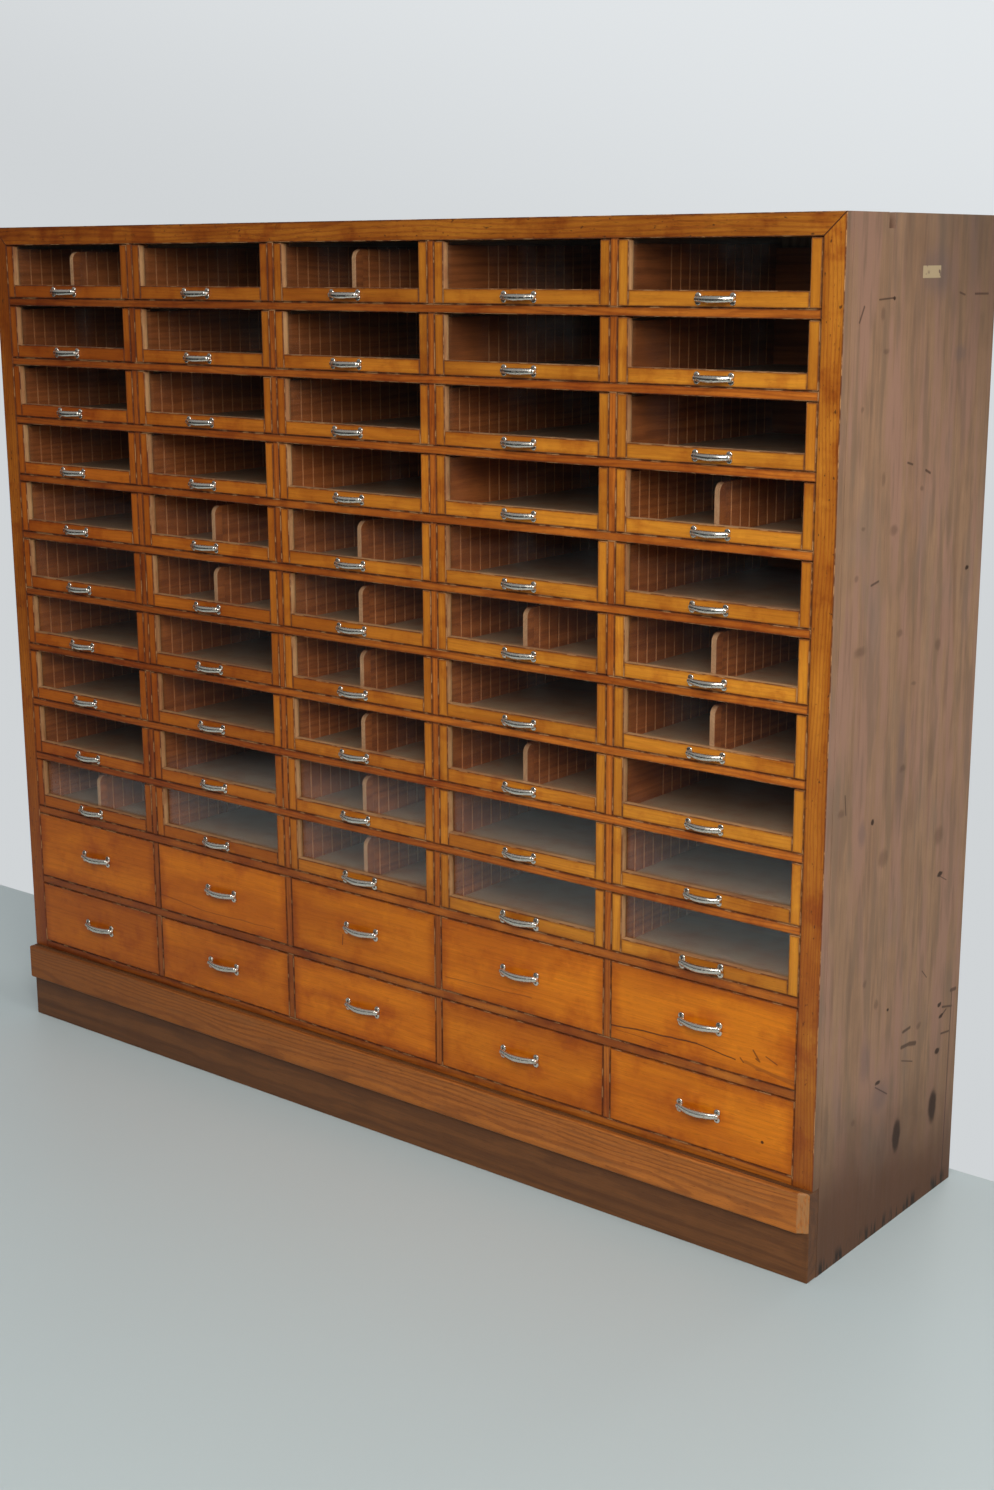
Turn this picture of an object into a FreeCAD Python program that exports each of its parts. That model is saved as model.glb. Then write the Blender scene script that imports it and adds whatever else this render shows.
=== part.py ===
import FreeCAD, Part
import Sketcher
import os

# A haberdashery cabinet that stands on the floor: ten rows of glass-fronted drawers over two
# rows of wooden ones, five to a row, in a case with a front frame and a plinth.
# Lengths are millimetres. +Z is up, the drawers open towards -Y, and the origin is the middle
# of the whole footprint at floor level.

SIZES = {
    # the front frame and its openings
    "opening_width": 378.4,
    "glass_opening": 107.9,
    "upper_wood_opening": 146.5,
    "lower_wood_opening": 137.5,
    "muntin_width": 15.0,
    "glass_rail_height": 15.0,
    "wood_rail_height": 17.0,
    "rail_depth": 45.0,
    "stile_width": 39.0,
    "top_rail_height": 36.0,
    "frame_thickness": 22.0,
    # the case behind it
    "case_depth": 513.0,
    "side_thickness": 22.0,
    "top_thickness": 18.0,
    "bottom_thickness": 17.0,
    "back_thickness": 12.0,
    "rabbet_width": 10.0,
    "tongue_length": 5.0,
    "tongue_thickness": 4.0,
    "tongue_clearance": 0.2,
    "notch_setback": 131.0,
    "notch_length": 20.0,
    "notch_depth": 24.0,
    "runner_width": 12.0,
    "guide_height": 25.0,
    # the plinth
    "plinth_height": 165.0,
    "plinth_thickness": 30.0,
    "plinth_projection": 8.0,
    "moulding_height": 73.5,
    "moulding_thickness": 12.0,
    "moulding_round": 2.5,
    "broken_corner": 17.0,
    # every drawer
    "side_gap": 0.9,
    "gap_below_front": 1.0,
    "gap_above_front": 1.5,
    "drawer_length": 480.0,
    "drawer_wall": 12.0,
    "side_headroom": 8.0,
    "back_headroom": 6.0,
    "panel_thickness": 6.0,
    "panel_rise": 6.0,
    "panel_groove": 5.0,
    "panel_clearance": 0.2,
    # the glass fronts
    "glass_front_thickness": 15.5,
    "front_stile_width": 20.0,
    "front_rail_height": 26.0,
    "glass_setback": 9.5,
    "glass_thickness": 3.0,
    "glass_groove": 5.0,
    "glass_clearance": 0.2,
    # the slots that hold loose partitions, and the fixed divider
    "slot_width": 3.5,
    "slot_depth": 2.5,
    "slot_pitch": 28.0,
    "first_slot": 34.0,
    "first_slot_plain": 118.0,
    "divider_thickness": 10.0,
    "divider_round": 16.0,
    # the wooden fronts
    "wood_front_thickness": 20.0,
    # the large bow handle and its screws; the small handle's scale, and its shift to the left
    "handle_span": 77.0,
    "foot_lobe_radius": 5.5,
    "foot_lobe_offset": 7.4,
    "foot_web": 8.0,
    "foot_thickness": 3.0,
    "bow_reach": 15.0,
    "bow_drop": 5.0,
    "bow_radius": 5.0,
    "shoulder_along": 23.5,
    "shoulder_reach": 11.2,
    "shoulder_drop": 3.5,
    "quarter_along": 12.0,
    "quarter_reach": 14.1,
    "quarter_drop": 4.6,
    "quarter_radius": 4.6,
    "bow_end_radius": 3.7,
    "boss_base_radius": 5.0,
    "boss_top_radius": 3.9,
    "boss_height": 9.0,
    "screw_head_radius": 2.0,
    "screw_head_height": 1.2,
    "screw_radius": 1.4,
    "screw_clearance": 0.1,
    "screw_length": 11.0,
    "small_handle_scale": 0.84,
    "handle_shift": 8.0,
}

COLUMNS = 5
GLASS_ROWS = 10
ROWS = GLASS_ROWS + 2
BACK_BOARDS = 14

# (column, row) of the drawers that have a divider, and of those whose sides are plain in front
DIVIDED = {(1, 1), (1, 10), (2, 5), (2, 6), (3, 1), (3, 5), (3, 6), (3, 7), (3, 8), (3, 9),
           (3, 10), (4, 6), (4, 8), (5, 4), (5, 6), (5, 7)}
PLAIN_IN_FRONT = {(4, 1), (4, 2), (4, 4), (5, 1), (5, 2), (5, 3), (5, 8)}

# Glass drawers with the large handle, and columns whose small handles sit left of the middle
LARGE_ON_GLASS = {(3, 10), (4, 10), (5, 10)}
SHIFTED_COLUMNS = {1, 2, 3}


class Size:
    """A length that keeps its value together with the sheet expression that gives it."""

    def __init__(self, value, text):
        self.value = value
        self.text = text

    def __add__(self, other):
        other = as_size(other)
        return Size(self.value + other.value, f"({self.text} + {other.text})")

    def __sub__(self, other):
        other = as_size(other)
        return Size(self.value - other.value, f"({self.text} - {other.text})")

    def __mul__(self, other):
        other = as_size(other)
        return Size(self.value * other.value, f"({self.text} * {other.text})")

    def __truediv__(self, number):
        return Size(self.value / number, f"({self.text} / {number})")

    def __neg__(self):
        return Size(-self.value, f"(0 - {self.text})")


def as_size(number):
    return number if isinstance(number, Size) else Size(number, str(number))


def larger(one, other):
    return Size(max(one.value, other.value), f"max({one.text}; {other.text})")


doc = FreeCAD.newDocument("haberdashery_cabinet")
sheet = doc.addObject("Spreadsheet::Sheet", "sizes")
for line, (alias, number) in enumerate(SIZES.items(), 1):
    sheet.set(f"A{line}", alias)
    sheet.set(f"B{line}", str(number))
    sheet.setAlias(f"B{line}", alias)
doc.recompute()


class Sheet:
    """The sheet's sizes by name, so that they can be added and multiplied."""

    def __getattr__(self, alias):
        return Size(SIZES[alias], f"sizes.{alias}")


d = Sheet()
ZERO = Size(0.0, "0")

# Levels of the openings, row 1 at the top and the last row on the bottom board
opening_height = {row: d.glass_opening for row in range(1, GLASS_ROWS + 1)}
opening_height[GLASS_ROWS + 1] = d.upper_wood_opening
opening_height[ROWS] = d.lower_wood_opening
rail_below = {row: d.glass_rail_height for row in range(1, GLASS_ROWS)}
rail_below[GLASS_ROWS] = d.wood_rail_height
rail_below[GLASS_ROWS + 1] = d.wood_rail_height
opening_floor = {ROWS: d.plinth_height + d.bottom_thickness}
for row in range(ROWS - 1, 0, -1):
    opening_floor[row] = opening_floor[row + 1] + opening_height[row + 1] + rail_below[row]

# The case's outer sizes, and where its left end and its front face lie
case_width = d.opening_width * COLUMNS + d.muntin_width * (COLUMNS - 1) + d.stile_width * 2
case_height = opening_floor[1] + opening_height[1] + d.top_rail_height
frame_height = case_height - d.plinth_height
between_stiles = case_width - d.stile_width * 2
column_pitch = d.opening_width + d.muntin_width
back_face = d.case_depth - d.back_thickness
handle_reach = d.bow_reach + d.bow_radius
front_reach = larger(handle_reach, d.plinth_projection + d.moulding_thickness)
left = -case_width / 2
face = -(d.case_depth - front_reach) / 2

# The drawer's own frame: its origin is the lower left corner of its place in the opening
drawer_width = d.opening_width - d.side_gap * 2
drawer_middle = drawer_width / 2


def bind(item, **expressions):
    """Ties properties of an object to sizes on the sheet."""
    for prop, size in expressions.items():
        item.setExpression(prop, as_size(size).text)


def place(item, x=ZERO, y=ZERO, z=ZERO):
    for axis, size in zip("xyz", (x, y, z)):
        item.setExpression(f"Placement.Base.{axis}", as_size(size).text)
    return item


def board(name, size, at):
    """A rectangular board, from its three sizes and its lowest corner."""
    item = doc.addObject("Part::Box", name)
    bind(item, Length=size[0], Width=size[1], Height=size[2])
    return place(item, *at)


def group(name, items, at=(ZERO, ZERO, ZERO)):
    """Separate solids that keep their own shapes, set down together."""
    item = doc.addObject("Part::Compound", name)
    item.Links = items
    return place(item, *at)


def plane(body, role):
    return next(item for item in body.Origin.OriginFeatures if item.Role == role)


def new_sketch(body, role):
    sketch = body.newObject("Sketcher::SketchObject", body.Name + "_outline")
    sketch.AttachmentSupport = (plane(body, role), [""])
    sketch.MapMode = "FlatFace"
    return sketch


def fix_point(sketch, line, end, along, up):
    """Ties a point of a sketch to its two distances from the sketch's origin."""
    for size, kind, axis in ((along, "DistanceX", -2), (up, "DistanceY", -1)):
        if size.value == 0:
            sketch.addConstraint(Sketcher.Constraint("PointOnObject", line, end, axis))
        else:
            place_at = Sketcher.Constraint(kind, -1, 1, line, end, size.value)
            index = sketch.addConstraint(place_at)
            sketch.setExpression(f"Constraints[{index}]", size.text)


def add_outline(sketch, corners):
    """A closed outline of straight lines through the corners."""
    points = [FreeCAD.Vector(along.value, up.value, 0) for along, up in corners]
    first = sketch.GeometryCount
    for start, end in zip(points, points[1:] + points[:1]):
        sketch.addGeometry(Part.LineSegment(start, end))
    for step, (along, up) in enumerate(corners):
        following = first + (step + 1) % len(corners)
        sketch.addConstraint(Sketcher.Constraint("Coincident", first + step, 2, following, 1))
        fix_point(sketch, first + step, 1, along, up)


def rectangle(low, high):
    return [low, (high[0], low[1]), high, (low[0], high[1])]


def add_feature(body, kind, sketch, length=None, reverse=False):
    """A pad or a pocket of a sketch. With no length, a pocket goes through everything."""
    before = body.Shape.Volume if body.Tip else 0.0
    feature = body.newObject("PartDesign::" + kind, f"{body.Name}_{kind.lower()}")
    feature.Profile = sketch
    feature.Reversed = reverse
    if length is None:
        feature.Type = "ThroughAll"
    else:
        feature.setExpression("Length", length.text)
    doc.recompute()
    if abs(body.Shape.Volume - before) < 1e-3:
        raise ValueError(f"{feature.Name} changes nothing")
    return feature


def padded(name, role, corners, length, reverse=False):
    """A body padded from an outline on one of its own planes."""
    body = doc.addObject("PartDesign::Body", name)
    sketch = new_sketch(body, role)
    add_outline(sketch, corners)
    add_feature(body, "Pad", sketch, length, reverse)
    return body


def round_edge(body, radius, middle):
    """Rounds the straight edge whose middle is the given point."""
    solid = body.Tip
    target = FreeCAD.Vector(*(size.value for size in middle))
    edges = [f"Edge{index}" for index, edge in enumerate(solid.Shape.Edges, 1)
             if edge.CenterOfMass.distanceToPoint(target) < 0.01]
    fillet = body.newObject("PartDesign::Fillet", body.Name + "_round")
    fillet.Base = (solid, edges)
    fillet.setExpression("Radius", radius.text)
    doc.recompute()


def mirrored(name, source, at):
    """The same piece turned left for right."""
    item = doc.addObject("Part::Mirroring", name)
    item.Source = source
    item.Normal = FreeCAD.Vector(1, 0, 0)
    return place(item, *at)


# Carcass

def side_panels():
    """The two sides, each with a rabbet for the back, and a notch in the right one's top edge."""
    length = d.case_depth - d.frame_thickness
    seat = length - d.back_thickness
    corners = [(ZERO, ZERO), (d.side_thickness, ZERO), (d.side_thickness, length),
               (d.rabbet_width, length), (d.rabbet_width, seat), (ZERO, seat)]
    behind = face + d.frame_thickness
    right = padded("side_panel_right", "XY_Plane", corners, case_height)
    notch = new_sketch(right, "YZ_Plane")
    start = d.notch_setback - d.frame_thickness
    add_outline(notch, rectangle((start, case_height - d.notch_depth),
                                 (start + d.notch_length, case_height)))
    add_feature(right, "Pocket", notch, reverse=True)
    place(right, left + case_width - d.side_thickness, behind)
    plain = padded("side_panel_plain", "XY_Plane", corners, case_height)
    mirrored_left = mirrored("side_panel_left", plain, (left + d.side_thickness, behind))
    return [mirrored_left, right]


def top_and_bottom():
    """The boards between the sides, behind the front frame and in front of the back."""
    span = case_width - d.side_thickness * 2
    depth = back_face - d.frame_thickness
    at_x = left + d.side_thickness
    at_y = face + d.frame_thickness
    top = board("top_board", (span, depth, d.top_thickness),
                (at_x, at_y, case_height - d.top_thickness))
    bottom = board("bottom_board", (span, depth, d.bottom_thickness),
                   (at_x, at_y, d.plinth_height))
    return [top, bottom]


def back_boards():
    """Upright boards joined by tongues and grooves, lying in the sides' rabbets."""
    inset = d.side_thickness - d.rabbet_width
    pitch = (case_width - inset * 2 - d.tongue_length) / BACK_BOARDS
    tongue_low = (d.back_thickness - d.tongue_thickness) / 2
    tongue_high = tongue_low + d.tongue_thickness
    groove_low = tongue_low - d.tongue_clearance
    groove_high = tongue_high + d.tongue_clearance
    groove_end = d.tongue_length + d.tongue_clearance
    tongue_end = pitch + d.tongue_length
    corners = [(ZERO, ZERO), (pitch, ZERO), (pitch, tongue_low), (tongue_end, tongue_low),
               (tongue_end, tongue_high), (pitch, tongue_high), (pitch, d.back_thickness),
               (ZERO, d.back_thickness), (ZERO, groove_high), (groove_end, groove_high),
               (groove_end, groove_low), (ZERO, groove_low)]
    pattern = padded("back_board", "XY_Plane", corners, case_height)
    boards = [group(f"back_board_{number}", [pattern], (pitch * number, ZERO, ZERO))
              for number in range(BACK_BOARDS)]
    return group("back_boards", boards, (left + inset, face + back_face, ZERO))


def face_frame():
    """Stiles and top rail mitred at the corners, long rails, and short muntins between them."""
    stile_corners = [(ZERO, ZERO), (d.stile_width, ZERO),
                     (d.stile_width, frame_height - d.top_rail_height), (ZERO, frame_height)]
    stile = padded("left_stile", "XZ_Plane", stile_corners, d.frame_thickness, reverse=True)
    place(stile, ZERO, ZERO, d.plinth_height)
    other = mirrored("right_stile", stile, (case_width, ZERO, ZERO))
    top_corners = [(ZERO, d.top_rail_height), (d.stile_width, ZERO),
                   (case_width - d.stile_width, ZERO), (case_width, d.top_rail_height)]
    top = padded("top_rail", "XZ_Plane", top_corners, d.frame_thickness, reverse=True)
    place(top, ZERO, ZERO, case_height - d.top_rail_height)
    bottom = board("bottom_rail", (between_stiles, d.frame_thickness, d.bottom_thickness),
                   (d.stile_width, ZERO, d.plinth_height))
    rails = [board(f"rail_{row}", (between_stiles, d.rail_depth, rail_below[row]),
                   (d.stile_width, ZERO, opening_floor[row] - rail_below[row]))
             for row in rail_below]
    muntins = [board(f"muntin_{row}_{column}",
                     (d.muntin_width, d.rail_depth, opening_height[row]),
                     (partition_start(column), ZERO, opening_floor[row]))
               for row in opening_floor for column in range(1, COLUMNS)]
    return group("face_frame", [stile, other, top, bottom, *rails, *muntins],
                 (left, face, ZERO))


def partition_start(column):
    """Where the partition to the right of a column begins, from the case's left end."""
    return d.stile_width + column_pitch * column - d.muntin_width


def partitions():
    """Upright boards from the front frame to the back, as thick as the muntins are wide."""
    floor = opening_floor[ROWS]
    size = (d.muntin_width, back_face - d.rail_depth,
            case_height - d.top_thickness - floor)
    boards = [board(f"partition_{column}", size,
                    (partition_start(column), d.rail_depth, floor))
              for column in range(1, COLUMNS)]
    return group("partitions", boards, (left, face, ZERO))


def drawer_runners():
    """Strips level with the rails that carry the drawers, and guides beside the end columns."""
    length = back_face - d.rail_depth
    filler = d.stile_width - d.side_thickness
    inner_right = case_width - d.side_thickness
    strips = []
    for row, rail in rail_below.items():
        level = opening_floor[row] - rail
        spans = [(d.side_thickness, filler + d.runner_width),
                 (inner_right - filler - d.runner_width, filler + d.runner_width)]
        for column in range(1, COLUMNS):
            start = partition_start(column)
            spans.append((start - d.runner_width, d.runner_width))
            spans.append((start + d.muntin_width, d.runner_width))
        for number, (start, width) in enumerate(spans):
            strips.append(board(f"runner_{row}_{number}", (width, length, rail),
                                (start, d.rail_depth, level)))
    for row, floor in opening_floor.items():
        for end, start in (("left", d.side_thickness), ("right", inner_right - filler)):
            strips.append(board(f"guide_{row}_{end}", (filler, length, d.guide_height),
                                (start, d.rail_depth, floor)))
    return group("drawer_runners", strips, (left, face, ZERO))


def plinth():
    """The board at the foot and the moulding planted on it, with a corner broken off."""
    base = board("plinth_board", (case_width, d.plinth_thickness, d.plinth_height),
                 (left, face - d.plinth_projection, ZERO))
    moulding = padded("plinth_moulding", "YZ_Plane",
                      rectangle((ZERO, ZERO), (d.moulding_thickness, d.moulding_height)),
                      case_width)
    middle = case_width / 2
    round_edge(moulding, d.moulding_round, (middle, ZERO, d.moulding_height))
    round_edge(moulding, d.moulding_round, (middle, ZERO, ZERO))
    corner = new_sketch(moulding, "XY_Plane")
    add_outline(corner, [(case_width - d.broken_corner, ZERO), (case_width, ZERO),
                         (case_width, d.moulding_thickness)])
    add_feature(moulding, "Pocket", corner, reverse=True)
    place(moulding, left, face - d.plinth_projection - d.moulding_thickness,
          d.plinth_height - d.moulding_height)
    return [base, moulding]


# Drawers

class Pattern:
    """The sizes of a handle: those of the large one times a scale."""

    def __init__(self, name, scale):
        self.name = name
        self.scale = scale

    def __getattr__(self, alias):
        return getattr(d, alias) * self.scale


def bow_handle(pattern):
    """Two screwed feet, a boss on each, and between them a bow that is thickest in its middle."""
    h = pattern
    half = h.handle_span / 2
    end_depth = h.foot_thickness + h.bow_end_radius / 2
    end = (end_depth, ZERO, h.bow_end_radius)
    shoulder = (h.shoulder_reach, h.shoulder_drop, h.bow_end_radius)
    quarter = (h.quarter_reach, h.quarter_drop, h.quarter_radius)
    middle = (ZERO, h.bow_reach, h.bow_drop, h.bow_radius)
    stations = [(-half, *end), (-h.shoulder_along, *shoulder), (-h.quarter_along, *quarter), middle,
                (h.quarter_along, *quarter), (h.shoulder_along, *shoulder), (half, *end)]
    rings = []
    for number, (along, reach, drop, radius) in enumerate(stations):
        ring = doc.addObject("Part::Circle", f"{h.name}_bow_ring_{number}")
        ring.Placement.Rotation = FreeCAD.Rotation(FreeCAD.Vector(0, 1, 0), 90)
        bind(ring, Radius=radius)
        rings.append(place(ring, along, -reach, -drop))
    bow = doc.addObject("Part::Loft", f"{h.name}_bow")
    bow.Sections = rings
    bow.Solid = True
    bow.Ruled = True
    pieces = [bow]
    for side, along in (("left", -half), ("right", half)):
        boss = doc.addObject("Part::Cone", f"{h.name}_boss_{side}")
        boss.Placement.Rotation = FreeCAD.Rotation(FreeCAD.Vector(1, 0, 0), 90)
        bind(boss, Radius1=h.boss_base_radius, Radius2=h.boss_top_radius, Height=h.boss_height)
        pieces.append(place(boss, along, ZERO, ZERO))
        pieces.append(board(f"{h.name}_foot_web_{side}",
                            (h.foot_web, h.foot_thickness, h.foot_lobe_offset * 2),
                            (along - h.foot_web / 2, -h.foot_thickness, -h.foot_lobe_offset)))
        for end, up in (("top", h.foot_lobe_offset), ("foot", -h.foot_lobe_offset)):
            pieces.append(peg(f"{h.name}_lobe_{side}_{end}", h.foot_lobe_radius,
                              h.foot_thickness, (along, ZERO, up)))
    whole = doc.addObject("Part::MultiFuse", f"{h.name}_handle_blank")
    whole.Shapes = pieces
    holes = doc.addObject("Part::MultiFuse", f"{h.name}_handle_holes")
    holes.Shapes = [peg(f"{h.name}_handle_hole_{number}", d.screw_radius + d.screw_clearance,
                        h.foot_thickness, at) for number, at in enumerate(screw_places(h))]
    handle = doc.addObject("Part::Cut", f"{h.name}_bow_handle")
    handle.Base = whole
    handle.Tool = holes
    return handle


def peg(name, radius, length, at):
    """A cylinder that starts at a point and runs forward, towards -Y."""
    item = doc.addObject("Part::Cylinder", name)
    item.Placement.Rotation = FreeCAD.Rotation(FreeCAD.Vector(1, 0, 0), 90)
    bind(item, Radius=radius, Height=length)
    return place(item, *at)


def screw_places(pattern):
    """The four screws of a handle, from the middle between its feet."""
    half = pattern.handle_span / 2
    up = pattern.foot_lobe_offset
    return [(-half, ZERO, -up), (-half, ZERO, up), (half, ZERO, -up), (half, ZERO, up)]


def handle_with_screws(pattern):
    """A handle with its four screws, whose shanks go through the feet into the wood."""
    thick = pattern.foot_thickness
    head = peg(f"{pattern.name}_screw_head", d.screw_head_radius, d.screw_head_height,
               (ZERO, -thick, ZERO))
    shank = peg(f"{pattern.name}_screw_shank", d.screw_radius, d.screw_length,
                (ZERO, d.screw_length - thick, ZERO))
    screw = doc.addObject("Part::Fuse", f"{pattern.name}_handle_screw")
    screw.Base = head
    screw.Tool = shank
    screws = [group(f"{pattern.name}_handle_screw_{number}", [screw], at)
              for number, at in enumerate(screw_places(pattern))]
    return group(f"{pattern.name}_handle_and_screws", [bow_handle(pattern), *screws])


def drill_for_handle(body, pattern, middle_x, middle_z):
    """The four screw holes that a handle needs in the front of a drawer."""
    sketch = new_sketch(body, "XZ_Plane")
    radius = d.screw_radius + d.screw_clearance
    for number, (along, depth, up) in enumerate(screw_places(pattern)):
        centre = (middle_x + along, middle_z + up)
        at = FreeCAD.Vector(centre[0].value, centre[1].value, 0)
        sketch.addGeometry(Part.Circle(at, FreeCAD.Vector(0, 0, 1), radius.value))
        index = sketch.addConstraint(Sketcher.Constraint("Radius", number, radius.value))
        sketch.setExpression(f"Constraints[{index}]", radius.text)
        fix_point(sketch, number, 3, *centre)
    hole_depth = d.screw_length - pattern.foot_thickness + d.screw_clearance
    add_feature(body, "Pocket", sketch, hole_depth)


def glass_frame():
    """Two grooved stiles, and a pane that slides down between them from the top."""
    height = d.glass_opening - d.gap_below_front - d.gap_above_front
    near = d.glass_setback - d.glass_clearance
    far = d.glass_setback + d.glass_thickness + d.glass_clearance
    deep = d.glass_groove + d.glass_clearance
    wide = d.front_stile_width
    thick = d.glass_front_thickness
    left_corners = [(ZERO, ZERO), (wide, ZERO), (wide, near), (wide - deep, near),
                    (wide - deep, far), (wide, far), (wide, thick), (ZERO, thick)]
    stile = padded("front_stile_left", "XY_Plane", left_corners, height)
    place(stile, ZERO, ZERO, d.gap_below_front)
    other = mirrored("front_stile_right", stile, (drawer_width, ZERO, ZERO))
    high = d.front_rail_height
    pane = board("front_glass",
                 (drawer_width - wide * 2 + d.glass_groove * 2, d.glass_thickness,
                  height - high + d.glass_groove),
                 (wide - d.glass_groove, d.glass_setback,
                  d.gap_below_front + high - d.glass_groove))
    return [stile, other, pane]


def front_rail(name, handle, pattern, shift):
    """The rail under the pane, with its handle that far left of the middle."""
    near = d.glass_setback - d.glass_clearance
    far = d.glass_setback + d.glass_thickness + d.glass_clearance
    deep = d.glass_groove + d.glass_clearance
    thick = d.glass_front_thickness
    high = d.front_rail_height
    rail_corners = [(ZERO, ZERO), (thick, ZERO), (thick, high), (far, high),
                    (far, high - deep), (near, high - deep), (near, high), (ZERO, high)]
    length = drawer_width - d.front_stile_width * 2
    rail = padded(name, "YZ_Plane", rail_corners, length)
    drill_for_handle(rail, pattern, length / 2 - shift, high / 2)
    place(rail, d.front_stile_width, ZERO, d.gap_below_front)
    return [rail, group(name + "_handle", [handle],
                        (drawer_middle - shift, ZERO, d.gap_below_front + high / 2))]


def wood_front(name, opening, handle, pattern):
    """One flush board with its handle in the middle."""
    height = opening - d.gap_below_front - d.gap_above_front
    front = padded(name + "_front", "XZ_Plane",
                   rectangle((ZERO, ZERO), (drawer_width, height)),
                   d.wood_front_thickness, reverse=True)
    drill_for_handle(front, pattern, drawer_middle, height / 2)
    place(front, ZERO, ZERO, d.gap_below_front)
    return [front, group(name + "_handle", [handle],
                         (drawer_middle, ZERO, d.gap_below_front + height / 2))]


def cut_slots(body, starts, first, height, length):
    """Upright slots along a wall. starts are the near edges of the slots across the wall."""
    sketch = new_sketch(body, "XY_Plane")
    for start in starts:
        add_outline(sketch, rectangle((start, first),
                                      (start + d.slot_depth, first + d.slot_width)))
    pocket = add_feature(body, "Pocket", sketch, height, reverse=True)
    run = length - d.drawer_wall - first - d.slot_width
    more = int(run.value // d.slot_pitch.value)
    pattern = body.newObject("PartDesign::LinearPattern", body.Name + "_slots")
    pattern.Originals = [pocket]
    pattern.Direction = (plane(body, "Y_Axis"), [""])
    pattern.Occurrences = more + 1
    pattern.setExpression("Length", (d.slot_pitch * more).text)
    body.Tip = pattern
    doc.recompute()


def drawer_side(name, height, length, first=None):
    """The left side of a drawer, grooved for its bottom and slotted on its inner face."""
    side = padded(name, "XY_Plane", rectangle((ZERO, ZERO), (d.drawer_wall, length)), height)
    groove = new_sketch(side, "XZ_Plane")
    top = d.panel_rise + d.panel_thickness + d.panel_clearance
    add_outline(groove, rectangle((d.drawer_wall - d.panel_groove, d.panel_rise),
                                  (d.drawer_wall, top)))
    add_feature(side, "Pocket", groove)
    if first:
        cut_slots(side, [d.drawer_wall - d.slot_depth], first, height, length)
    return side


def drawer_box(name, opening, thick, first=None):
    """The two sides, the back and the bottom panel behind a front of a given thickness."""
    height = opening - d.side_headroom
    length = d.drawer_length - thick
    side = drawer_side(name + "_left_side", height, length, first)
    place(side, ZERO, thick, ZERO)
    other = mirrored(name + "_right_side", side, (drawer_width, ZERO, ZERO))
    panel_top = d.panel_rise + d.panel_thickness
    inside = drawer_width - d.drawer_wall * 2
    back = board(name + "_back",
                 (inside, d.drawer_wall, height - d.back_headroom - panel_top),
                 (d.drawer_wall, d.drawer_length - d.drawer_wall, panel_top))
    hidden = d.panel_groove - d.panel_clearance
    panel = board(name + "_bottom", (inside + hidden * 2, length, d.panel_thickness),
                  (d.drawer_wall - hidden, thick, d.panel_rise))
    return [side, other, back, panel]


def drawer_divider():
    """A fixed middle wall, slotted on both faces, with its top corner rounded in front."""
    panel_top = d.panel_rise + d.panel_thickness
    height = d.glass_opening - d.side_headroom - d.back_headroom - panel_top
    length = d.drawer_length - d.glass_front_thickness - d.drawer_wall
    wall = padded("divider", "XY_Plane",
                  rectangle((ZERO, ZERO), (d.divider_thickness, length)), height)
    round_edge(wall, d.divider_round, (d.divider_thickness / 2, ZERO, height))
    far_face = d.divider_thickness - d.slot_depth
    cut_slots(wall, [ZERO, far_face], d.first_slot, height, length)
    return place(wall, drawer_middle - d.divider_thickness / 2, d.glass_front_thickness,
                 panel_top)


def drawer_parts():
    """The sets of pieces that drawers are put together from, all in the drawer's own frame."""
    large = Pattern("large", 1)
    small = Pattern("small", d.small_handle_scale)
    large_handle = handle_with_screws(large)
    small_handle = handle_with_screws(small)
    slotted = drawer_box("slotted", d.glass_opening, d.glass_front_thickness, d.first_slot)
    plain = drawer_box("plain", d.glass_opening, d.glass_front_thickness, d.first_slot_plain)
    parts = {"frame": glass_frame(),
             "large_rail": front_rail("large_rail", large_handle, large, ZERO),
             "small_rail": front_rail("small_rail", small_handle, small, ZERO),
             "shifted_rail": front_rail("shifted_rail", small_handle, small, d.handle_shift),
             "slotted": slotted,
             "divided": slotted + [drawer_divider()],
             "plain": plain}
    for name, opening in (("upper_wood", d.upper_wood_opening),
                          ("lower_wood", d.lower_wood_opening)):
        parts[name] = (wood_front(name, opening, large_handle, large)
                       + drawer_box(name, opening, d.wood_front_thickness))
    return parts


def sets_of(column, row):
    """The names of the sets of pieces that make the drawer in a column and row."""
    if row > GLASS_ROWS:
        return ["upper_wood" if row == GLASS_ROWS + 1 else "lower_wood"]
    if (column, row) in LARGE_ON_GLASS:
        rail = "large_rail"
    else:
        rail = "shifted_rail" if column in SHIFTED_COLUMNS else "small_rail"
    if (column, row) in DIVIDED:
        box = "divided"
    else:
        box = "plain" if (column, row) in PLAIN_IN_FRONT else "slotted"
    return ["frame", rail, box]


def drawer(name, column, row, parts, shift=(ZERO, ZERO)):
    """One drawer in its opening, resting on its runners."""
    at_x = d.stile_width + column_pitch * (column - 1) + d.side_gap
    pieces = [piece for label in sets_of(column, row) for piece in parts[label]]
    return group(name, pieces, (at_x + shift[0], shift[1], opening_floor[row]))


def drawers():
    """Rows 1 to 8 one by one, and the four rows below them in pairs."""
    parts = drawer_parts()
    found = []
    for column in range(1, COLUMNS + 1):
        for row in range(1, GLASS_ROWS - 1):
            name = f"drawer_c{column}_r{row:02d}"
            found.append(drawer(name, column, row, parts, (left, face)))
        for upper in (GLASS_ROWS - 1, GLASS_ROWS + 1):
            pair = [drawer(f"single_c{column}_r{row:02d}", column, row, parts)
                    for row in (upper, upper + 1)]
            name = f"drawer_pair_c{column}_r{upper:02d}_r{upper + 1:02d}"
            found.append(group(name, pair, (left, face, ZERO)))
    return found


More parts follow.
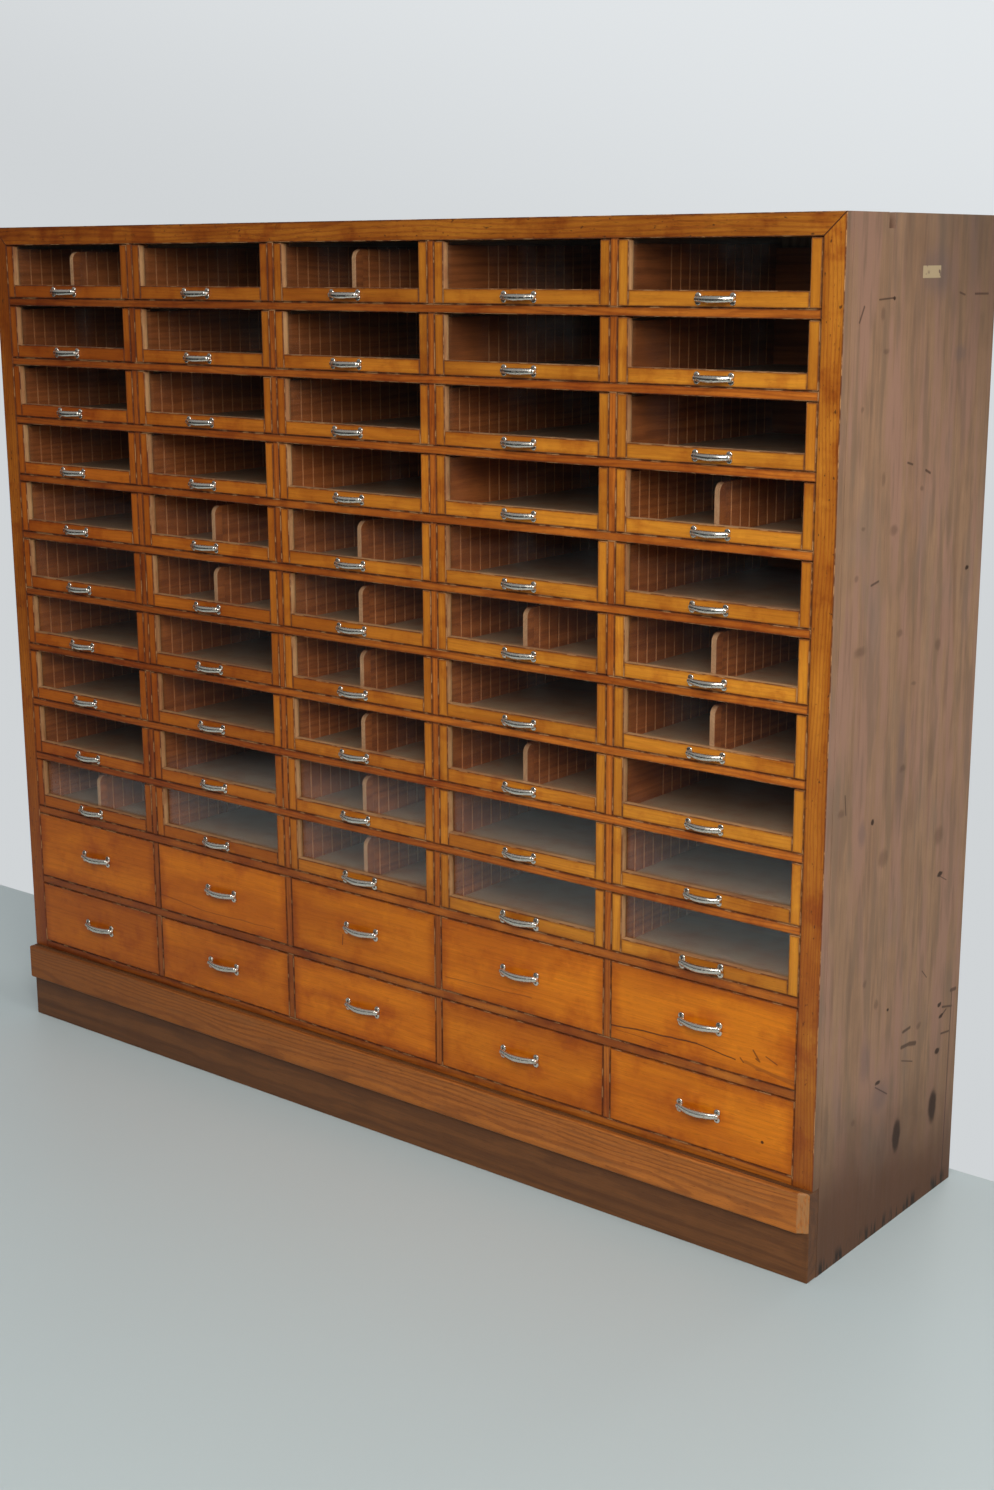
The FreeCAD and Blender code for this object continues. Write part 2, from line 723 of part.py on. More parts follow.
nodes = [*side_panels(), *top_and_bottom(), back_boards(), face_frame(), partitions(),
         drawer_runners(), *plinth(), *drawers()]
doc.recompute()

for item in doc.Objects:
    if "Invalid" in item.State or "Error" in item.State:
        raise ValueError(f"{item.Label} failed: {item.State}")
for node in nodes:
    if node.Shape.isNull() or not node.Shape.isValid():
        raise ValueError(f"{node.Label} has no valid shape")

os.makedirs("parts", exist_ok=True)
for node in nodes:
    node.Shape.exportStep(f"parts/{node.Label}.step")
    print(node.Label, len(node.Shape.Solids), "solids")
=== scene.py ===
"""The looks of a haberdashery cabinet: ten rows of glass-fronted drawers over two of wood."""

import functools
import math
import random

import bpy
import numpy as np
from bpy.props import FloatProperty, FloatVectorProperty, IntProperty, PointerProperty
from mathutils import Matrix, Vector


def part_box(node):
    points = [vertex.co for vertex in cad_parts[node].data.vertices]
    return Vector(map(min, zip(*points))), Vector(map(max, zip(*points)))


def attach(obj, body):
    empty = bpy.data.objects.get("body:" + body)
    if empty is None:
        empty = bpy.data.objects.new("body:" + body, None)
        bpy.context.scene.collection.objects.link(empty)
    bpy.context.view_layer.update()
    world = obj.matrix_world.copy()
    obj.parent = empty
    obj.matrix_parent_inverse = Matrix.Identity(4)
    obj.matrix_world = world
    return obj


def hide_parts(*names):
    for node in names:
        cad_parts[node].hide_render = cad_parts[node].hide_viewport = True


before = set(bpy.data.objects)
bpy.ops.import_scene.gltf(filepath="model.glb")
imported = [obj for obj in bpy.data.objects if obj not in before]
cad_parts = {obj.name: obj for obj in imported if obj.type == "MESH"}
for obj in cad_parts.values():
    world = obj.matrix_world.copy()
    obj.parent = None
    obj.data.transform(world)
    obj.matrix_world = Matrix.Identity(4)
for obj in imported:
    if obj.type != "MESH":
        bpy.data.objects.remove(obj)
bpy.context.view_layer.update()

bl_info = {
    "name": "Haberdashery Cabinet",
    "version": (1, 0, 0),
    "blender": (4, 5, 0),
    "location": "3D View > Sidebar > Cabinet",
    "description": "Builds the boards, drawers, handles and finishes of a haberdashery cabinet",
    "category": "Object",
}

LEFT, FACE, PLINTH_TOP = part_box("face_frame")[0]
RIGHT, _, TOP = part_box("face_frame")[1]
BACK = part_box("back_boards")[1][1]
COLUMNS, GLASS_ROWS, ROWS = 5, 10, 12

# (column, row) of the drawers with a fixed divider, of those with no slots in their near part, and
# of the glass-fronted ones with a large handle
DIVIDED = {(1, 1), (1, 10), (2, 5), (2, 6), (3, 1), (3, 5), (3, 6), (3, 7), (3, 8), (3, 9),
           (3, 10), (4, 6), (4, 8), (5, 4), (5, 6), (5, 7)}
PLAIN_IN_FRONT = {(4, 1), (4, 2), (4, 4), (5, 1), (5, 2), (5, 3), (5, 8)}
LARGE_ON_GLASS = {(3, 10), (4, 10), (5, 10)}
SHIFTED_COLUMNS = {1, 2, 3}

# The photographer's camera: its place, its turns in degrees, and its lens over a 36 mm sensor
CAMERA_AT = (2.548, -2.9728, 1.6826)
CAMERA_PITCH, CAMERA_ROLL, CAMERA_YAW = 13.604, -0.232, 38.982
LENS, SENSOR = 48.545, 36.0

# Lamps: place, aim, width, power and colour
LAMPS = {
    "window_light": ((2.3, -3.0, 3.0), (0.5, 0.0, 0.7), 2.4, 120.0, (1.0, 0.99, 0.97)),
    "side_light": ((4.4, -0.8, 3.3), (0.9, 0.1, 1.0), 2.2, 62.0, (0.97, 0.985, 1.0)),
    "back_light": ((0.5, 3.8, 3.0), (0.0, 0.2, 0.8), 2.6, 40.0, (1.0, 1.0, 1.0)),
}


def length(name, description, default):
    """A size in metres that a user can change."""
    return FloatProperty(name=name, description=description, default=default, min=0.0,
                         unit="LENGTH", precision=5)


def colour(name, description, default):
    """A colour that a user can change."""
    return FloatVectorProperty(name=name, description=description, default=default, size=3,
                               min=0.0, max=1.0, subtype="COLOR")


class CabinetSizes(bpy.types.PropertyGroup):
    opening_width: length("Opening width", "Width of every drawer opening", 0.3784)
    glass_opening: length("Glass row", "Height of a glass drawer's opening", 0.1079)
    upper_opening: length("Upper wooden row", "Height of the upper wooden openings", 0.1465)
    lower_opening: length("Lower wooden row", "Height of the lower wooden openings", 0.1375)
    muntin: length("Muntin", "Width of the short uprights between drawers", 0.015)
    glass_rail: length("Glass rail", "Height of the rails under glass drawers", 0.015)
    wood_rail: length("Wood rail", "Height of the rails that touch wooden drawers", 0.017)
    rail_depth: length("Rail depth", "Depth of the rails and muntins", 0.045)
    stile: length("Stile", "Width of the frame's stiles", 0.039)
    top_rail: length("Top rail", "Height of the frame's top rail", 0.036)
    frame_thickness: length("Frame thickness", "Thickness of the frame's outer boards", 0.022)
    bottom_rail: length("Bottom rail", "Height of the frame's bottom rail", 0.017)
    side_gap: length("Side gap", "Gap beside each drawer front", 0.0009)
    gap_below: length("Gap below", "Gap under each drawer front", 0.001)
    gap_above: length("Gap above", "Gap over each drawer front", 0.0015)
    drawer_length: length("Drawer length", "Length of a drawer from face to back", 0.48)
    drawer_wall: length("Drawer wall", "Thickness of a drawer's sides and back", 0.012)
    side_headroom: length("Side headroom", "How far a drawer's sides stay under its opening", 0.008)
    back_headroom: length("Back headroom", "How far a drawer's back stays under its sides", 0.006)
    panel_rise: length("Bottom rise", "Height of a drawer's bottom panel over its runners", 0.006)
    panel: length("Bottom panel", "Thickness of a drawer's bottom panel", 0.006)
    front_thickness: length("Glass front", "Thickness of a glass drawer's front", 0.0155)
    front_stile: length("Front stile", "Width of a glass drawer's stiles", 0.02)
    front_rail: length("Front rail", "Height of a glass drawer's rail", 0.026)
    glass_setback: length("Glass setback", "Depth of the pane behind the face", 0.0095)
    glass: length("Glass", "Thickness of the pane", 0.003)
    wood_front: length("Wooden front", "Thickness of a wooden drawer's front", 0.02)
    slot_width: length("Slot width", "Width of a slot for a loose partition", 0.0035)
    slot_depth: length("Slot depth", "Depth of a slot for a loose partition", 0.0025)
    slot_pitch: length("Slot pitch", "Distance from slot to slot", 0.028)
    first_slot: length("First slot", "Distance of the first slot behind the front", 0.034)
    late_slot: length("Late first slot", "The same in drawers whose near part is plain", 0.118)
    divider: length("Divider", "Thickness of the fixed middle divider", 0.01)
    divider_round: length("Divider round", "Radius of the divider's top corner in front", 0.016)
    handle_span: length("Handle span", "Distance between a large handle's feet", 0.077)
    small_handle: FloatProperty(name="Small handle", description="Scale of the small handles",
                                default=0.84, min=0.1)
    handle_shift: length("Handle shift", "How far some small handles sit left of the middle", 0.008)
    lobe_radius: length("Foot lobe", "Radius of a foot's two lobes", 0.0061)
    lobe_offset: length("Lobe offset", "Height of a lobe's middle from the foot's middle", 0.0066)
    small_lobe_offset: length("Small lobe offset", "The same on a small handle", 0.0046)
    foot_web: length("Foot web", "Width of a foot between its lobes", 0.0104)
    foot_thickness: length("Foot thickness", "Thickness of a handle's foot", 0.003)
    screw_head: length("Screw head", "Radius of a screw's head", 0.002)
    screw_height: length("Screw height", "Height of a screw's head over the foot", 0.0012)
    moulding_height: length("Moulding height", "Height of the moulding on the plinth", 0.0735)
    moulding_thickness: length("Moulding thickness", "Thickness of the moulding", 0.012)
    broken_corner: length("Broken corner", "Length of the moulding's broken corner", 0.017)
    plinth_thickness: length("Plinth thickness", "Thickness of the plinth board", 0.03)
    plinth_projection: length("Plinth projection", "How far the plinth board stands proud", 0.008)
    arris: length("Arris", "Width of the softened edges of the boards", 0.0009)
    back_boards: IntProperty(name="Back boards", description="Number of upright boards in the back",
                             default=14, min=1)


class CabinetColours(bpy.types.PropertyGroup):
    drawer_light: colour("Drawer light", "Pale wood of the wooden fronts", (0.63, 0.172, 0.005))
    glazed_light: colour("Glazed light", "Pale wood of the glazed fronts", (0.53, 0.145, 0.009))
    drawer_dark: colour("Drawer dark", "Grain lines of a drawer front", (0.40, 0.088, 0.006))
    frame_light: colour("Frame light", "Pale wood of the frame", (0.48, 0.140, 0.012))
    frame_dark: colour("Frame dark", "Grain lines of the frame", (0.30, 0.062, 0.008))
    rail_light: colour("Rail light", "Pale wood of the rails and muntins", (0.50, 0.128, 0.015))
    rail_dark: colour("Rail dark", "Grain lines of the rails and muntins", (0.27, 0.053, 0.008))
    side_light: colour("Side light", "Pale streaks of the sides", (0.40, 0.225, 0.124))
    side_dark: colour("Side dark", "Dark streaks of the sides", (0.29, 0.150, 0.080))
    inside_light: colour("Inside light", "Pale wood inside the drawers", (0.44, 0.125, 0.030))
    inside_dark: colour("Inside dark", "Grain lines inside the drawers", (0.20, 0.046, 0.012))
    slot_wood: colour("Slots", "Cut wood in the slots", (0.64, 0.28, 0.115))
    dust: colour("Dust", "Dust on the drawers' bottoms", (0.35, 0.245, 0.155))
    moulding_light: colour("Moulding light", "Pale oak of the moulding", (0.42, 0.130, 0.018))
    moulding_dark: colour("Moulding dark", "Dark oak of the moulding", (0.17, 0.045, 0.008))
    plinth_light: colour("Plinth light", "Pale streaks of the plinth board", (0.150, 0.055, 0.015))
    plinth_dark: colour("Plinth dark", "Dark streaks of the plinth board", (0.080, 0.028, 0.009))
    raw_light: colour("Raw light", "Pale wood of the unfinished boards", (0.36, 0.22, 0.12))
    raw_dark: colour("Raw dark", "Grain lines of the unfinished boards", (0.18, 0.095, 0.05))
    nickel: colour("Nickel", "Worn plating of the handles", (0.76, 0.71, 0.62))
    floor: colour("Floor", "The stage's floor", (0.53, 0.60, 0.60))
    wall: colour("Wall", "The stage's backdrop", (0.75, 0.78, 0.80))


def sizes():
    return bpy.context.scene.cabinet_sizes


def colours():
    return bpy.context.scene.cabinet_colours


# Shader maths

def add_node(tree, kind, settings=None, inputs=None):
    """A node with its settings, and the values or links of its sockets."""
    made = tree.nodes.new(kind)
    for key, value in (settings or {}).items():
        setattr(made, key, value)
    for key, value in (inputs or {}).items():
        if isinstance(value, bpy.types.NodeSocket):
            tree.links.new(value, made.inputs[key])
        else:
            made.inputs[key].default_value = value
    return made


class Value:
    """A shader socket that takes arithmetic."""

    def __init__(self, finish, socket):
        self.finish, self.socket = finish, socket

    def maths(self, operation, *others):
        return self.finish.maths(operation, self, *others)

    def __add__(self, other):
        return self.maths("ADD", other)

    def __radd__(self, other):
        return self.maths("ADD", other)

    def __sub__(self, other):
        return self.maths("SUBTRACT", other)

    def __rsub__(self, other):
        return self.finish.maths("SUBTRACT", other, self)

    def __mul__(self, other):
        return self.maths("MULTIPLY", other)

    def __rmul__(self, other):
        return self.maths("MULTIPLY", other)

    def __truediv__(self, other):
        return self.maths("DIVIDE", other)

    def __rtruediv__(self, other):
        return self.finish.maths("DIVIDE", other, self)

    def __gt__(self, other):
        return self.maths("GREATER_THAN", other)

    def __lt__(self, other):
        return self.maths("LESS_THAN", other)


class Finish:
    """A material, or a world, whose nodes are added by short calls."""

    MIX_A, MIX_B, MIX_RESULT = 6, 7, 2

    def __init__(self, name, owner=None):
        self.material = owner or bpy.data.materials.new(name)
        self.material.use_nodes = True
        self.tree = self.material.node_tree
        self.tree.nodes.clear()

    def node(self, kind, settings=None, inputs=None):
        sockets = {key: value.socket if isinstance(value, Value) else value
                   for key, value in (inputs or {}).items()}
        return add_node(self.tree, "ShaderNode" + kind, settings, sockets)

    def out(self, made, key=0):
        return Value(self, made.outputs[key])

    def maths(self, operation, *values):
        return self.out(self.node("Math", {"operation": operation}, dict(enumerate(values))))

    def vector(self, operation, *values):
        made = self.node("VectorMath", {"operation": operation}, dict(enumerate(values)))
        return self.out(made, "Value" if operation in ("LENGTH", "DOT_PRODUCT") else "Vector")

    def scaled(self, vector, factors):
        return self.vector("MULTIPLY", vector, factors)

    def attribute(self, name, output="Vector"):
        return self.out(self.node("Attribute", {"attribute_name": name}), output)

    def place(self):
        return self.out(self.node("TexCoord"), "Object")

    def parts(self, vector):
        made = self.node("SeparateXYZ", None, {0: vector})
        return [self.out(made, axis) for axis in range(3)]

    def joined(self, x=0.0, y=0.0, z=0.0):
        return self.out(self.node("CombineXYZ", None, {0: x, 1: y, 2: z}))

    def noise(self, vector, scale=1.0, detail=3.0, roughness=0.55):
        return self.out(self.node("TexNoise", None, {
            "Vector": vector, "Scale": scale, "Detail": detail, "Roughness": roughness}), "Fac")

    def step(self, value, low, high, start=0.0, end=1.0):
        """start below low, end above high, and a smooth change between them."""
        return self.out(self.node("MapRange", {"interpolation_type": "SMOOTHSTEP"}, {
            "Value": value, "From Min": low, "From Max": high, "To Min": start, "To Max": end}))

    def mix(self, factor, one, other, blend="MIX"):
        """Two colours mixed, through the sockets that a Mix node has for colours."""
        def rgba(value):
            return value if isinstance(value, Value) else (*value[:3], 1.0)
        made = self.node("Mix", {"data_type": "RGBA", "blend_type": blend},
                         {0: factor, self.MIX_A: rgba(one), self.MIX_B: rgba(other)})
        return self.out(made, self.MIX_RESULT)

    def tinted(self, tint, factors):
        """A colour times another."""
        return self.mix(1.0, tint, factors, "MULTIPLY")

    def shade(self, tint, factor):
        """A colour times a number."""
        return self.tinted(tint, self.joined(factor, factor, factor))

    def ellipse(self, across, up, centre, radii, blur=0.25):
        """1 inside an ellipse, 0 outside."""
        flat = self.joined((across - centre[0]) / radii[0], (up - centre[1]) / radii[1])
        return self.step(self.vector("LENGTH", flat), 1 - blur, 1 + blur, 1.0, 0.0)

    def stroke(self, across, up, start, end, width):
        """1 along a thin line between two points."""
        run = Vector(end) - Vector(start)
        x, y = across - start[0], up - start[1]
        along = (x * run.x + y * run.y) / run.length_squared
        along = self.maths("MINIMUM", self.maths("MAXIMUM", along, 0.0), 1.0)
        off = self.joined(x - along * run.x, y - along * run.y)
        return self.step(self.vector("LENGTH", off), width * 0.4, width, 1.0, 0.0)

    def bump(self, height, strength, distance=0.001):
        return self.out(self.node("Bump", None, {
            "Height": height, "Strength": strength, "Distance": distance}), "Normal")

    def blend(self, factor, one, other):
        """A shader between two others."""
        return self.out(self.node("MixShader", None, {0: factor, 1: one, 2: other}))

    def surface(self, inputs):
        return self.show(self.out(self.node("BsdfPrincipled", None, inputs)))

    def show(self, shader, output="OutputMaterial"):
        self.node(output, None, {"Surface": shader})
        return self.material


class Grain:
    """The wood of a board, from its place in the log.

    It has the log's coordinates, X along the grain, and rings, fibres, pores, clouds and specks
    from 0 to 1. A board from Joinery also has its tone and the distance to its nearest arris. For
    any other board, along is the axis of its grain.
    """

    PITH = (0.21, 0.08)
    WANDER = 0.35

    def __init__(self, finish, along=None, ring=0.006):
        if along is None:
            cut = finish.attribute("cut")
            log = finish.vector("ADD", finish.attribute("grain"), cut)
            self.tone = finish.attribute("tone", "Fac") + finish.parts(cut)[1] * 0.6
            place = finish.vector("ABSOLUTE", finish.attribute("place"))
            x, y, z = finish.parts(finish.vector("SUBTRACT", finish.attribute("half"), place))
            near = finish.maths("MINIMUM", x, y)
            far = finish.maths("MAXIMUM", x, y)
            self.edge = finish.maths("MAXIMUM", near, finish.maths("MINIMUM", far, z))
        else:
            axes = finish.parts(finish.place())
            log = finish.joined(axes[along], axes[(along + 1) % 3] + self.PITH[0],
                                axes[(along + 2) % 3] + self.PITH[1])
            self.tone, self.edge = None, None
        self.log = log
        sway = finish.noise(finish.scaled(log, (1.4, 6.0, 6.0)), 1.0, 2.0)
        _, y, z = finish.parts(log)
        radius = finish.vector("LENGTH", finish.joined(0.0, y, z))
        swirl = finish.noise(finish.scaled(log, (7.0, 45.0, 45.0)), 1.0, 2.0)
        phase = (radius + sway * 0.045) * (1 / ring) + swirl * self.WANDER * 4
        wave = finish.maths("SINE", phase * math.tau)
        self.rings = finish.step(wave, -0.2, 1.0)
        self.fibre = finish.noise(finish.scaled(log, (9.0, 420.0, 420.0)), 1.0, 3.0, 0.6)
        self.pores = finish.step(finish.noise(finish.scaled(log, (55.0, 900.0, 900.0)), 1.0, 1.0),
                                 0.60, 0.70)
        self.clouds = finish.noise(finish.scaled(log, (3.0, 14.0, 14.0)), 1.0, 3.0)
        self.specks = finish.step(finish.noise(finish.scaled(log, (90.0, 160.0, 160.0)), 1.0, 2.0),
                                  0.66, 0.74)


# Colours that multiply a wood's own colour where it is clouded, patched, rubbed bright or stained
CLOUDED, PATCHED = (0.62, 0.46, 0.40), (0.70, 0.52, 0.48)
BRIGHT, STAINED = (1.22, 1.36, 1.5), (0.52, 0.33, 0.28)

# Colours that lie over the wood
ARRIS_DARK, SPECK, RUBBED_ARRIS = (0.070, 0.015, 0.005), (0.05, 0.014, 0.006), (0.62, 0.33, 0.13)
RED_VARNISH, OPEN_JOINT = (0.30, 0.055, 0.012), (0.05, 0.012, 0.005)


def varnished(name, light, dark, figure=0.5, grime=0.6, pores=0.35, red_and_shade=0.0, specks=0.0,
              ring=0.006, broad=0.010, mottle=0.7, aged_and_shaded=None, marks=None):
    """Old varnish over wood, darker in a thin line along the arrises and rubbed pale on them.

    figure, grime, pores, red, specks and mottle are strengths from 0 to 1; red also turns on
    painted shade, darker towards the bottom and the top. ring is the width of a growth ring and
    broad that of the stain along the arrises. aged holds two factors for the colour, at the
    cabinet's left and right
    ends: partly the varnish's own hue, partly painted shade that darkens the left end. marks adds
    what single boards show.
    """
    finish = Finish(name)
    wood = Grain(finish, ring=ring)
    tint = finish.mix(wood.rings * figure, light, dark)
    clouds = finish.step(wood.clouds, 0.38, 0.66)
    tint = finish.mix(clouds * mottle, tint, finish.tinted(tint, CLOUDED))
    patches = finish.step(finish.noise(finish.place(), 13.0, 5.0, 0.62), 0.50, 0.68)
    tint = finish.mix(patches * mottle, tint, finish.tinted(tint, PATCHED))
    glow = finish.step(finish.noise(finish.place(), 24.0, 4.0), 0.54, 0.7)
    tint = finish.mix(glow * mottle * 0.6, tint, finish.tinted(tint, BRIGHT))
    tint = finish.shade(tint, (wood.fibre * 0.5 + 0.76) * (1 + wood.tone))
    tint = finish.mix(wood.pores * pores, tint, finish.shade(tint, 0.35))
    if specks:
        tint = finish.mix(wood.specks * specks, tint, SPECK)
    uneven = finish.noise(finish.place(), 38.0, 3.0)
    stain = finish.step(wood.edge, 0.0, broad, 1.0, 0.0) * (uneven * 0.9 + 0.1)
    tint = finish.mix(stain * grime, tint, finish.tinted(tint, STAINED))
    arris_dark = finish.step(wood.edge, 0.0004, 0.0030, 1.0, 0.0) * finish.step(uneven, 0.10, 0.5)
    tint = finish.mix(arris_dark * 0.85, tint, ARRIS_DARK)
    # Partly painted shade: the colour changes from the left end to the right, darker at the left.
    if aged_and_shaded:
        x = finish.parts(finish.place())[0]
        tint = finish.tinted(tint, finish.mix(finish.step(x, LEFT, RIGHT), *aged_and_shaded))
    if red_and_shade:
        z = finish.parts(finish.place())[2]
        low = finish.step(z, 0.1, 1.1, 1.0, 0.0)
        tint = finish.mix(low * red_and_shade, tint, RED_VARNISH)
        # Painted shade: darker towards the bottom and the top.
        tint = finish.shade(tint, finish.step(z, 0.15, 0.8, 0.80, 1.0)
                            * finish.step(z, 1.2, TOP, 1.0, 0.88))
    rubbed = finish.step(wood.edge, 0.0006, 0.0016, 1.0, 0.0) * finish.step(uneven, 0.5, 0.62)
    tint = finish.mix(rubbed * 0.5, tint, RUBBED_ARRIS)
    if marks:
        tint = marks(finish, tint)
    rough = wood.fibre * 0.18 + 0.24 + arris_dark * 0.25 + rubbed * 0.2
    relief = wood.fibre * 0.35 + wood.rings * 0.3 - wood.pores * 0.8
    return finish.surface({"Base Color": tint, "Roughness": rough,
                           "Normal": finish.bump(relief, 0.12, 0.0006),
                           "Coat Weight": 0.04, "Coat Roughness": 0.2,
                           "Specular IOR Level": 0.22})


def plain_wood(name, light, dark, along=None, figure=0.6, ring=0.008, streaks=0.5, dust=None,
               grime=0.4, pores=0.3, marks=None, rough=0.7):
    """Unvarnished or worn wood. along is the axis of the grain of a board that isn't from Joinery,
    and dust is the colour of what lies on it.
    """
    finish = Finish(name)
    wood = Grain(finish, along, ring)
    tint = finish.mix(wood.rings * figure, light, dark)
    bands = finish.noise(finish.scaled(wood.log, (0.7, 34.0, 34.0)), 1.0, 3.0, 0.6)
    tint = finish.mix(finish.step(bands, 0.38, 0.68) * streaks, tint, dark)
    tone = 1.0 if wood.tone is None else 1 + wood.tone
    tint = finish.shade(tint, (wood.fibre * 0.6 + 0.7) * tone)
    tint = finish.mix(wood.pores * pores, tint, finish.shade(tint, 0.4))
    uneven = finish.noise(finish.place(), 21.0, 4.0)
    tint = finish.shade(tint, uneven * 0.35 + 0.83)
    if wood.edge is not None:
        arris_dark = finish.step(wood.edge, 0.0, 0.014, 1.0, 0.0) * finish.step(uneven, 0.35, 0.7)
        tint = finish.mix(arris_dark * grime, tint, finish.shade(tint, 0.3))
    if dust is not None:
        lies = finish.step(uneven, 0.25, 0.6, 0.55, 1.0)
        tint = finish.mix(lies * 0.8, tint, dust)
    if marks:
        tint = marks(finish, tint)
    relief = wood.fibre * 0.5 + wood.rings * 0.4 - wood.pores * 0.6
    return finish.surface({"Base Color": tint, "Roughness": wood.fibre * 0.2 + (rough - 0.1),
                           "Normal": finish.bump(relief, 0.2, 0.0008),
                           "Specular IOR Level": 0.3})


# Marks left by use on single boards

def shade_painted_above(finish, tint):
    """Painted shade: the topmost drawers are darker inside."""
    return finish.shade(tint, finish.step(finish.parts(finish.place())[2], 1.25, 1.6, 1.0, 0.72))


def spots(finish, across, up, places, blur=0.35):
    """1 on any of the ellipses, each given by its middle and its two radii."""
    found = 0.0
    for x, z, wide, high in places:
        inside = finish.ellipse(across, up, (x, z), (wide, high), blur)
        found = finish.maths("MAXIMUM", found, inside)
    return found


def lines(finish, across, up, places):
    """1 on any of the thin lines, each given by its two ends and its width."""
    found = 0.0
    for x, z, to_x, to_z, width in places:
        there = finish.stroke(across, up, (x, z), (to_x, to_z), width)
        found = finish.maths("MAXIMUM", found, there)
    return found


def band(finish, value, low, high, blur):
    """1 between low and high."""
    return (finish.step(value, low - blur, low + blur)
            * finish.step(value, high - blur, high + blur, 1.0, 0.0))


# Marks on the right-hand side. A spot is its distance behind the face, its height, and half its
# width and height. A line is the distance and height of one end, those of the other, and its width.
MAUVE_STAINS = (
    (0.222, 0.262, 0.028, 0.024), (0.122, 0.759, 0.012, 0.020), (0.394, 1.528, 0.019, 0.012),
    (0.245, 0.850, 0.013, 0.100), (0.165, 0.345, 0.016, 0.035), (0.300, 1.660, 0.050, 0.035))
BROWN_KNOTS = (
    (0.0906, 1.069, 0.018, 0.008), (0.223, 1.081, 0.010, 0.006), (0.362, 1.041, 0.010, 0.010),
    (0.280, 0.9875, 0.009, 0.003), (0.199, 0.700, 0.016, 0.014), (0.401, 0.694, 0.016, 0.015),
    (0.152, 0.489, 0.006, 0.006), (0.131, 0.244, 0.006, 0.006), (0.188, 1.255, 0.012, 0.008),
    (0.146, 1.340, 0.006, 0.010), (0.138, 1.540, 0.009, 0.004), (0.122, 1.597, 0.006, 0.010),
    (0.068, 1.453, 0.004, 0.004), (0.086, 1.267, 0.006, 0.003), (0.278, 1.314, 0.006, 0.004),
    (0.070, 1.190, 0.006, 0.005), (0.359, 0.351, 0.008, 0.005), (0.196, 0.440, 0.007, 0.008),
    (0.255, 0.845, 0.010, 0.006), (0.050, 0.810, 0.010, 0.007))
DARK_KNOTS = (
    (0.292, 0.163, 0.014, 0.030), (0.429, 0.172, 0.015, 0.031), (0.214, 0.2906, 0.009, 0.004),
    (0.414, 0.620, 0.009, 0.005), (0.459, 1.1625, 0.006, 0.004), (0.156, 0.772, 0.005, 0.005),
    (0.4375, 0.2775, 0.009, 0.006), (0.4375, 0.3675, 0.007, 0.004), (0.239, 0.417, 0.004, 0.003),
    (0.445, 0.342, 0.007, 0.004), (0.158, 1.621, 0.004, 0.003))
SIDE_SCRATCHES = (
    (0.049, 1.586, 0.0625, 1.609, 0.0030), (0.109, 1.619, 0.156, 1.621, 0.0020),
    (0.381, 1.626, 0.400, 1.622, 0.0024), (0.4375, 1.623, 0.486, 1.6225, 0.0026),
    (0.486, 0.380, 0.481, 0.015, 0.0024), (0.482, 0.382, 0.500, 0.380, 0.0050),
    (0.206, 0.284, 0.250, 0.2575, 0.0018), (0.300, 0.357, 0.326, 0.358, 0.0040),
    (0.297, 0.329, 0.325, 0.327, 0.0050), (0.325, 0.327, 0.349, 0.321, 0.0060),
    (0.300, 0.303, 0.341, 0.289, 0.0016), (0.3625, 0.453, 0.381, 0.436, 0.0016),
    (0.450, 0.359, 0.4875, 0.350, 0.0030), (0.447, 0.3425, 0.466, 0.350, 0.0030),
    (0.450, 0.3075, 0.481, 0.303, 0.0028), (0.060, 0.838, 0.065, 0.805, 0.0022),
    (0.119, 1.173, 0.143, 1.177, 0.0028), (0.289, 1.343, 0.305, 1.337, 0.0030),
    (0.225, 1.360, 0.242, 1.356, 0.0026), (0.410, 0.618, 0.440, 0.603, 0.0014))

# The scrap of paper: where it starts and ends behind the face, and its lower and upper edge
PAPER = (0.2485, 0.3100, 1.6502, 1.6694)

# Streaks of the sides: the noise's lowest and highest value, its scale across and up, the strength
# and the colour
SIDE_STREAKS = (
    (0.44, 0.60, 19.0, 2.6, 0.75, (0.42, 0.222, 0.150)),
    (0.47, 0.64, 31.0, 4.5, 0.60, (0.25, 0.150, 0.090)),
    (0.52, 0.70, 70.0, 5.0, 0.35, (0.21, 0.105, 0.065)),
    (0.50, 0.70, 9.0, 3.0, 0.35, (0.23, 0.170, 0.130)))

# Lines on the wooden fronts: X and height of one end, those of the other, and the width
LONG_CRACK = (
    (0.599, 0.3620, 0.700, 0.3690, 0.0020), (0.700, 0.3690, 0.780, 0.3720, 0.0020),
    (0.780, 0.3720, 0.858, 0.3630, 0.0016))
FAINT_CRACKS = (
    (-0.583, 0.3700, -0.440, 0.3590, 0.0020), (-0.440, 0.3590, -0.240, 0.3630, 0.0016),
    (0.215, 0.3650, 0.420, 0.3700, 0.0016), (0.877, 0.3630, 0.980, 0.3450, 0.0040),
    (0.900, 0.3560, 0.975, 0.3520, 0.0026), (0.610, 0.3560, 0.720, 0.3520, 0.0014))
FRONT_SCRATCHES = (
    (0.893, 0.388, 0.9045, 0.373, 0.0022), (0.899, 0.374, 0.906, 0.371, 0.0022),
    (0.918, 0.383, 0.940, 0.374, 0.0016), (0.868, 0.368, 0.874, 0.362, 0.0020),
    (-0.052, 0.371, -0.050, 0.392, 0.0018))
NAIL_HOLE, NAIL_RADII = (0.9155, 0.2275), (0.0030, 0.0028)

DAMP_WOOD, MAUVE, BROWN, DARK_KNOT = ((0.100, 0.038, 0.015), (0.135, 0.088, 0.080),
                                      (0.095, 0.046, 0.027), (0.036, 0.014, 0.005))
OLD_PAPER, SCRATCHED, CHIPPED = (0.46, 0.34, 0.19), (0.045, 0.018, 0.010), (0.018, 0.010, 0.006)


